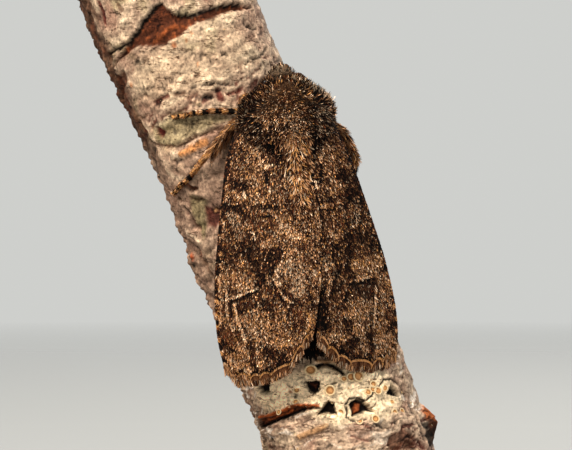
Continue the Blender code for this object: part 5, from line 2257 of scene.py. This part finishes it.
GROOVES = tuple(Groove(Tone[tone], route, *sizes) for tone, route, sizes in rows_of("""
SHADOW: 13.1 -60, 13.1 -39, 13.5 -26, 14.05 -14, 14.3 -4: 0.2 -0.3 1
SHADOW: 13.2 4, 12.95 15, 12.85 26, 12.78 39, 12.6 53: 0.17 -0.25 1
FOXY: 12.75 0, 12.8 -6, 12.5 -20: 0.24 0.1 0.9
WINE: 16.07 -47, 15.47 -48, 14.93 -52: 0.34 -0.1 0.95
UMBER: 15.46 -32, 14.98 -31: 0.26 -0.1
COPPER: 11.79 -7: 0.34 0.04
CLAY: 11.72 2: 0.2 0.04
CLAY: 12.02 7: 0.2 0.04
CLAY: 10.15 2: 0.2 0.04
CLAY: 10.84 -50: 0.26 0.04
SHADOW: 10.14 21, 10.02 25: 0.18 -0.2
SHADOW: 11.14 50, 10.99 54, 10.85 60: 0.17 -0.2
SHADOW: 9.02 33, 9.24 39, 9.27 52, 9.62 64: 0.12 -0.2
UMBER: 9.59 -3, 9.68 1: 0.14 -0.16
LEAD: 9.13 -9, 8.99 -2, 8.73 8: 0.11 -0.14
LEAD: 8.97 1, 8.62 12, 8.21 20: 0.11 -0.14
SHADOW: 8.24 -1, 8.15 1: 0.4 -0.22 1
WINE: 8.27 8, 7.79 7: 0.42 -0.16 0.95
WINE: 7.89 13, 7.83 22: 0.3 -0.16 0.9
RUST: 9.15 -20, 9.05 -14: 0.32 -0.1 0.8
WINE: 9.19 -38, 9.26 -31, 9.21 -26: 0.32 -0.16 0.9
LEAD: 8.05 -13, 7.74 -1: 0.09 -0.14
LEAD: 8.5 -10, 8.1 3: 0.09 -0.12
UMBER: 9.93 -43: 0.22 -0.16
UMBER: 8.9 -60, 8.74 -51: 0.13 -0.14
WINE: 7.75 -46, 7.45 -44: 0.5 -0.22 1
LEAD: 7.2 -33: 0.3 -0.14
UMBER: 7.42 -60, 6.92 -51, 6.49 -40, 6.38 -32, 6.39 -25, 6.38 -13, 6.16 1: 0.15 -0.22 0.95
APRICOT: 5.88 -34, 5.89 -23, 5.9 -15: 0.4 0.12 1
LEAD: 5.48 -42, 5.53 -37: 0.2 -0.14
CREAM: 5.36 -56, 4.87 -50, 4.5 -41: 0.3 0.08
LEAD: 5.01 -37: 0.13 -0.1
RUST: 4.13 -42, 3.8 -41, 3.64 -36: 0.34 -0.25 0.95
UMBER: 3.96 -62, 3.45 -56: 0.26 -0.2 0.95
UMBER: 3.29 -45, 2.92 -41, 2.88 -34: 0.14 -0.2
SHADOW: 2.83 -55, 2.47 -54: 0.3 -0.2
UMBER: 2.15 -54, 1.68 -54, 1.39 -50: 0.2 -0.2 0.95
SHADOW: 2.41 -31, 2.07 -29, 1.87 -25: 0.14 -0.2
BUFF: 1.98 -30: 0.3 0.08
CREAM: 1.64 -66, 0.94 -57, 0.53 -53: 0.3 0.08
WINE: 0.57 -40: 0.18 -0.12
EMBER: -0.09 -74: 0.4 0.1
RUST: 0.07 -61, -0.26 -61: 0.26 -0.12
LEAD: -0.17 -49: 0.26 -0.12
UMBER: -0.6 -61, -1.49 -59, -1.85 -58: 0.34 -0.08 0.7
SIENNA: -11 -64, -10.95 -47, -10.8 -32, -10.92 -20, -11.2 -11: 0.22 0.1 1
BRICK: -11.32 -60, -11.2 -45, -11.06 -32: 0.14 0.1 0.9
SHADOW: -11.7 -72, -11.5 -49, -11.3 -34, -11.25 -22: 0.2 -0.2 1
RUST: -12.35 22, -12.3 27: 0.08 -0.14
SHADOW: -12.94 16, -12.75 7, -12.41 4, -11.72 7, -11.4 11, -11.56 16, -11.87 20, -11.79 26, -11.37 33,\
-11.09 41, -11.22 49, -11.64 55, -12.47 60: 0.11 -0.1 1
BUFF: -12.82 -31, -12.5 -11: 0.34 0.12
SHADOW: -8.98 -4, -8.98 3, -9.37 7, -9.85 12: 0.2 -0.3 1
BUFF: -8.66 -1, -9.05 8, -9.5 12: 0.2 0.14 0.8
SHADOW: -10.24 -2, -10.28 6: 0.12 -0.12 0.9
FOXY: -9.89 -27: 0.2 -0.1
WINE: -13 9, -13.53 19: 0.14 -0.1
WINE: -13.63 4, -14.11 13: 0.12 -0.1
UMBER: -14 -20, -15 -16, -15.9 -18: 0.12 -0.12
UMBER: -13.3 -40, -14.6 -36, -16 -38: 0.14 -0.12
LEAD: -13.1 62, -14.07 64, -15.36 66: 0.3 -0.2 0.9
"""))
CUPS = """
-9.01 -8 0.43, -10.23 16 0.35, -10.35 21 0.45, -11.1 30 0.26, -11.37 29 0.25, -11.58 32 0.29,\
-11.44 24 0.29, -11.57 39 0.25, -12.48 41 0.2, -13.07 23 0.3, -13.09 41 0.25, -10.57 0 0.38,\
-10.2 11 0.25, -9.9 -22 0.25, -13.2 49 0.22, -12 2 0.22, -12.9 12 0.25, -10.6 -26 0.25, -10.9 -40 0.22,\
-11.6 46 0.18
"""


@dataclass
class Perch:
    """The branch's bark with its cracks, peeled patches, cut ends and cup lichens."""

    bark: Material
    lichen: Material
    rises: tuple = (-17.4, 17.8)
    fine_rises: tuple = (-15.6, -8.2)
    rise_step: float = 0.13
    fine_step: float = 0.062
    front: float = 98.0
    front_step: float = 0.95
    back_step: float = 3.6
    wood: tuple = ((186, 146, 106), (152, 112, 78))
    pith: tuple = (110, 74, 46)
    wood_rings: int = 12
    cup_profile: tuple = (
        (0.8, -0.1), (0.95, 0.25), (1.0, 0.5), (0.86, 0.62), (0.72, 0.5), (0.6, 0.34), (0.25, 0.4),
    )
    # The first, dark tint is painted shadow round each cup's foot; the others are the lichen's own colours.
    cup_tints: tuple = (
        (80, 58, 42), (140, 112, 84), (238, 212, 168), (238, 212, 168),
        (226, 192, 140), (150, 98, 56), (214, 156, 98),
    )
    loose_cups: int = 50
    far_cups: int = 40
    sunk: float = 0.03

    def relief(self, rise: Array, angle: Array) -> tuple[Array, Array]:
        """How the bark departs from the plain branch, and its colour.

        Args:
            rise: places up the branch.
            angle: places round it.

        Returns:
            The height in millimetres, and the linear colour.
        """
        solid = PERCH.solid(rise, angle)
        across = solid + 0.5 * mottles(solid, 1.6, range(201, 204))
        broad = mottle(across, (2.4, 2.4, 1.3), 205)
        rolls = mottle(across, (2.2, 2.2, 0.42), 208, 3)
        crumb = mottle(solid, (0.5, 0.5, 0.26), 212, 3)
        fine = mottle(solid, 0.16, 216, 2)
        crack = np.abs(mottle(across, (3.0, 3.0, 0.75), 220, 2))
        crack = (1 - smooth(0.0, 0.07, crack)) * smooth(-0.1, 0.5, mottle(across, 1.8, 225))
        height = 0.09 * broad + 0.07 * rolls + 0.045 * crumb + 0.022 * fine - 0.13 * crack
        colour = Tone.CREAM.over(linear(Tone.PINK.value), smooth(-0.9, 0.9, broad + 0.4 * crumb))
        colour = Tone.PINK.over(colour, 0.75 * smooth(0.1, 0.9, mottle(across, (2.8, 2.8, 0.5), 230)), 0.9)
        colour = Tone.OLIVE.over(colour, 0.5 * smooth(0.2, 1.0, mottle(across, (1.6, 1.6, 1.1), 235)), 1.1)
        height, colour = self.weather(rise, angle, solid, across, height, colour)
        height, colour = self.features(rise, angle, solid, height, colour)
        colour = Tone.SHADOW.over(colour, 0.8 * crack, 2.0)
        shade = 0.84 * np.exp(0.42 * crumb + 0.36 * fine + 0.2 * rolls)
        speck = smooth(0.7, 0.95, mottle(across, (0.4, 0.4, 0.25), 260, 2))
        return height, colour * (shade * (1 - 0.75 * speck))[:, None]

    def weather(
        self, rise: Array, angle: Array, solid: Array, across: Array, height: Array, colour: Array
    ) -> tuple[Array, Array]:
        """Browns and darkens the left edge as painted shade over brown bark, flakes and whitens the bark,
        greys it to the right as painted shade, and greys and darkens it from the sides round the back.
        """
        # Painted shade over brown bark: the left edge, away from the light, is browner and darker.
        rim = smooth(50.0, 66.0, -angle + 9 * mottle(solid, 1.4, 240))
        upper = smooth(3.0, 9.0, rise)
        shaded_brown = Tone.RUST.over(linear(Tone.UMBER.value), smooth(-0.5, 0.8, mottle(solid, 0.8, 246)))
        colour = blend(colour, shaded_brown, ((0.35 + 0.6 * upper) * rim)[:, None])
        height = height - 0.1 * rim * upper + 0.15 * rim * mottle(solid, (0.5, 0.5, 0.35), 248, 2)
        # Painted shade: the left edge is darkened further in mottled patches.
        colour = colour * (1 - 0.5 * rim * smooth(0.0, 0.8, mottle(solid, 0.4, 266, 2)))[:, None]
        flaked = smooth(0.3, 0.5, mottle(across, (0.8, 0.8, 0.26), 270, 3))
        where = 1.1 * np.exp(-(((rise - 8.2) / 1.1) ** 2)) + 0.8 * smooth(-12.6, -14.0, rise)
        flaked = flaked * smooth(0.3, 0.8, mottle(across, (3.5, 3.5, 1.1), 274) + where)
        colour = Tone.WINE.over(colour, 0.85 * flaked)
        chalk = smooth(0.35, 0.65, mottle(across, (1.2, 1.2, 0.3), 277, 3)) * smooth(-6.0, -9.0, rise)
        colour = Tone.CHALK.over(colour, 0.8 * chalk)
        colour = Tone.PINK.over(colour, 0.55 * smooth(7.0, 4.0, rise) * smooth(-8.0, -4.0, rise), 0.8)
        # Painted shade: greyer and a little darker toward the right edge.
        colour = Tone.ASH.over(colour, 0.6 * smooth(62.0, 95.0, angle + 8 * mottle(solid, 1.2, 243)), 0.9)
        colour = Tone.ASH.over(colour, 0.7 * smooth(88.0, 125.0, np.abs(angle)), 0.75)
        return height - 0.1 * flaked, colour

    def features(
        self, rise: Array, angle: Array, solid: Array, height: Array, colour: Array
    ) -> tuple[Array, Array]:
        """Adds the named patches and grooves to the bark."""
        places = PERCH.flat(np.stack([rise, angle], -1)) + 0.09 * mottles(solid, 0.5, (250, 253))
        grains = smooth(0.3, 0.8, mottle(solid, 0.24, 256, 2))
        for patch in PATCHES:
            height, colour = patch.lay(places, grains, height, colour)
        for groove in GROOVES:
            height, colour = groove.lay(places, height, colour)
        return height, colour

    def build(self) -> None:
        """Builds the bark with its cut ends, then the lichens."""
        low, high = self.rises
        start, stop = self.fine_rises
        coarse, fine = self.rise_step, self.fine_step
        stretches = ((low, start, coarse), (start, stop, fine), (stop, high, coarse))
        rises = [np.linspace(a, b, int((b - a) / step), endpoint=False) for a, b, step in stretches]
        rises = np.append(np.concatenate(rises), high)
        front = np.arange(-self.front, self.front, self.front_step)
        angles = np.concatenate([front, np.arange(self.front, 360 - self.front, self.back_step)])
        rows, columns = len(rises), len(angles)
        rise, angle = np.repeat(rises, columns), np.tile(angles, rows)
        angle = np.where(angle > 180, angle - 360, angle)
        height, colour = self.relief(rise, angle)
        height = blend(-0.12, height, smooth(0.0, 0.35, np.minimum(rise - low, high - rise)))
        points = PERCH.point(rise, angle, height)
        ends = [self.end(low, points[:columns]), self.end(high, points[-columns:])]
        shell = Shell(points, [grid_faces(rows, columns, ring=True)], colour)
        place_piece("perch_bark", Shell.joined([shell, *ends]), self.bark, "bark", "perch_branch")
        self.make_cups()

    def end(self, rise: float, rim: Array) -> Shell:
        """One sawn end: rings of wood inside the rim of bark."""
        centre = PERCH.centre(np.array(rise))
        count, rings = len(rim), self.wood_rings
        shares = np.linspace(1.0, 0.0, rings, endpoint=False)
        points = np.vstack([*(centre + (rim - centre) * share for share in shares), centre])
        quads, _, fan = ring_faces(rings, count)
        fan[:, 2] = len(points) - 1
        turn = np.tile(np.arange(count) * 2 * np.pi / count, rings)
        wave = 0.5 + 0.5 * np.cos(np.repeat(shares, count) * 38 + 0.6 * np.sin(turn * 3))
        colour = blend(*map(linear, self.wood), wave[:, None] ** 2)
        colour = np.vstack([colour, linear(self.pith)])
        colour[: count * 2] = linear(Tone.UMBER.value)
        whole = [quads, fan] if rise > 0 else [quads[:, ::-1], fan[:, ::-1]]
        return Shell(points, whole, colour)

    def make_cups(self) -> None:
        """Sets the cup lichens on the bark: an orange disc in a pale rim, with a painted shadow round each
        foot.
        """
        rng = np.random.default_rng(301)
        named = np.array([cup.split() for cup in CUPS.split(",")], float)
        more, few = self.loose_cups, self.far_cups
        near = np.stack([rng.uniform(-13.8, -9.2, more), rng.uniform(-60, 75, more)], -1)
        far = np.stack([rng.uniform(-17, 17.3, few), rng.uniform(-180, 180, few)], -1)
        rise, angle = np.vstack([named[:, :2], near, far]).T
        scale = np.concatenate([named[:, 2], rng.uniform(0.05, 0.11, more + few)])
        height, _ = self.relief(rise, angle)
        base = PERCH.point(rise, angle, height - self.sunk)
        out = unit(base - PERCH.centre(rise))
        sizes = np.stack([scale, scale * rng.uniform(0.8, 1.0, len(scale)), scale * 0.8], 1)
        body = turned_body(self.cup_profile, 14, self.cup_tints)
        mesh = Repeated("cup_lichens", 11, 0.25).made(body, base, out, sizes, self.lichen)
        place_piece("cup_lichens", mesh, self.lichen, "bark")


def dress_stand(wood: Material, steel: Material) -> None:
    """Gives the stand's own solids their finishes."""
    for name, material, slot in (("stand_base", wood, "stand_wood"), ("stand_rod", steel, "stand_steel")):
        node = bpy.data.objects[name]
        node.data.materials.clear()
        node.data.materials.append(material)
        LOG.info("%s: finished", name)


# ---- studio


@dataclass
class Studio:
    """The floor, the soft lights and the camera."""

    lens: float = 150.0
    camera_at: tuple = (0.0, -158.0, PERCH_MIDDLE_HEIGHT)
    surround: tuple = (0.86, 0.87, 0.84)
    surround_power: tuple = (0.3, 0.72)
    floor_half: float = 800.0

    def build(self) -> None:
        """Builds everything that isn't part of the model."""
        self.make_floor()
        self.make_surround()
        self.make_light("key", (-150, -260, 330), 220, 3.1, (1.0, 0.94, 0.86))
        self.make_light("fill", (300, -200, 120), 300, 0.45, (0.93, 0.96, 1.0))
        self.make_light("rim", (120, 260, 300), 220, 1.2, (1.0, 0.97, 0.92))
        self.make_camera()

    def make_floor(self) -> None:
        """Lays the floor under the stand."""
        corners = np.array([(-1, -1, 0), (1, -1, 0), (1, 1, 0), (-1, 1, 0)]) * self.floor_half
        floor = linked("floor", mesh_of("floor", Shell(corners, [np.array([[0, 1, 2, 3]])], np.ones((4, 3)))))
        floor.data.materials.append(FloorFinish().made())

    def make_surround(self) -> None:
        """Fills the surround with soft pale light, stronger behind the model than before it."""
        world = bpy.data.worlds.new("surround")
        world.use_nodes = True
        tree = world.node_tree
        sky = tree.nodes["Background"]
        sky.inputs["Color"].default_value = (*self.surround, 1.0)
        low, high = self.surround_power
        place = add_node(tree, "ShaderNodeTexCoord")
        way = add_node(tree, "ShaderNodeSeparateXYZ")
        power = add_node(tree, "ShaderNodeMapRange", From_Min=-1.0, To_Min=low, To_Max=high)
        tree.links.new(place.outputs["Generated"], way.inputs["Vector"])
        tree.links.new(way.outputs["Y"], power.inputs["Value"])
        tree.links.new(power.outputs["Result"], sky.inputs["Strength"])
        bpy.context.scene.world = world
        bpy.context.scene.view_settings.view_transform = "Standard"

    def make_light(self, name: str, at: tuple, size: float, power: float, colour: tuple) -> None:
        """Hangs one soft square light that faces the moth."""
        lamp = bpy.data.lights.new(name, "AREA")
        lamp.size = size * MM
        lamp.energy = power
        lamp.color = colour
        light = linked(name, lamp)
        light.location = np.array(at) * MM
        aim = Matrix.Translation(BODY.centre).to_translation() * MM - light.location
        light.rotation_euler = aim.to_track_quat("-Z", "Y").to_euler()

    def make_camera(self) -> None:
        """Sets the camera level with the moth, looking straight at its back."""
        data = bpy.data.cameras.new("camera")
        data.lens = self.lens
        data.sensor_width = 36.0
        data.clip_start = 0.01
        data.clip_end = 10.0
        camera = linked("camera", data)
        camera.location = np.array(self.camera_at) * MM
        camera.rotation_euler = (math.pi / 2, 0.0, 0.0)
        bpy.context.scene.camera = camera


def main() -> None:
    """Builds the model's looks in order and reports each piece."""
    logging.basicConfig(level=logging.INFO, format="%(message)s")
    scales = TintFinish("wing_scales", 0.75, 18000.0).made()
    membrane = TintFinish("wing_membrane", 0.7, 9000.0, bump=0.03).made()
    fur = TintFinish("body_fur", 0.8, 14000.0).made()
    skin = TintFinish("skin", 0.8, 9000.0, bump=0.03).made()
    limbs = TintFinish("leg_scales", 0.6, 14000.0).made()
    bark = BarkFinish().made()
    lichen = TintFinish("cup_lichen", 0.8, 9000.0, 0.75, 1.2, bump=0.03).made()
    for side in Side:
        Hindwing(side, membrane).build()
        Forewing(side, scales, membrane).build()
    body = Skin(skin)
    body.build()
    Coat(fur, body).build()
    Feelers(limbs).build()
    SmallParts(limbs, EyeFinish().made()).build()
    Perch(bark, lichen).build()
    dress_stand(WoodFinish().made(), SteelFinish().made())
    Studio().build()


if __name__ == "__main__":
    main()
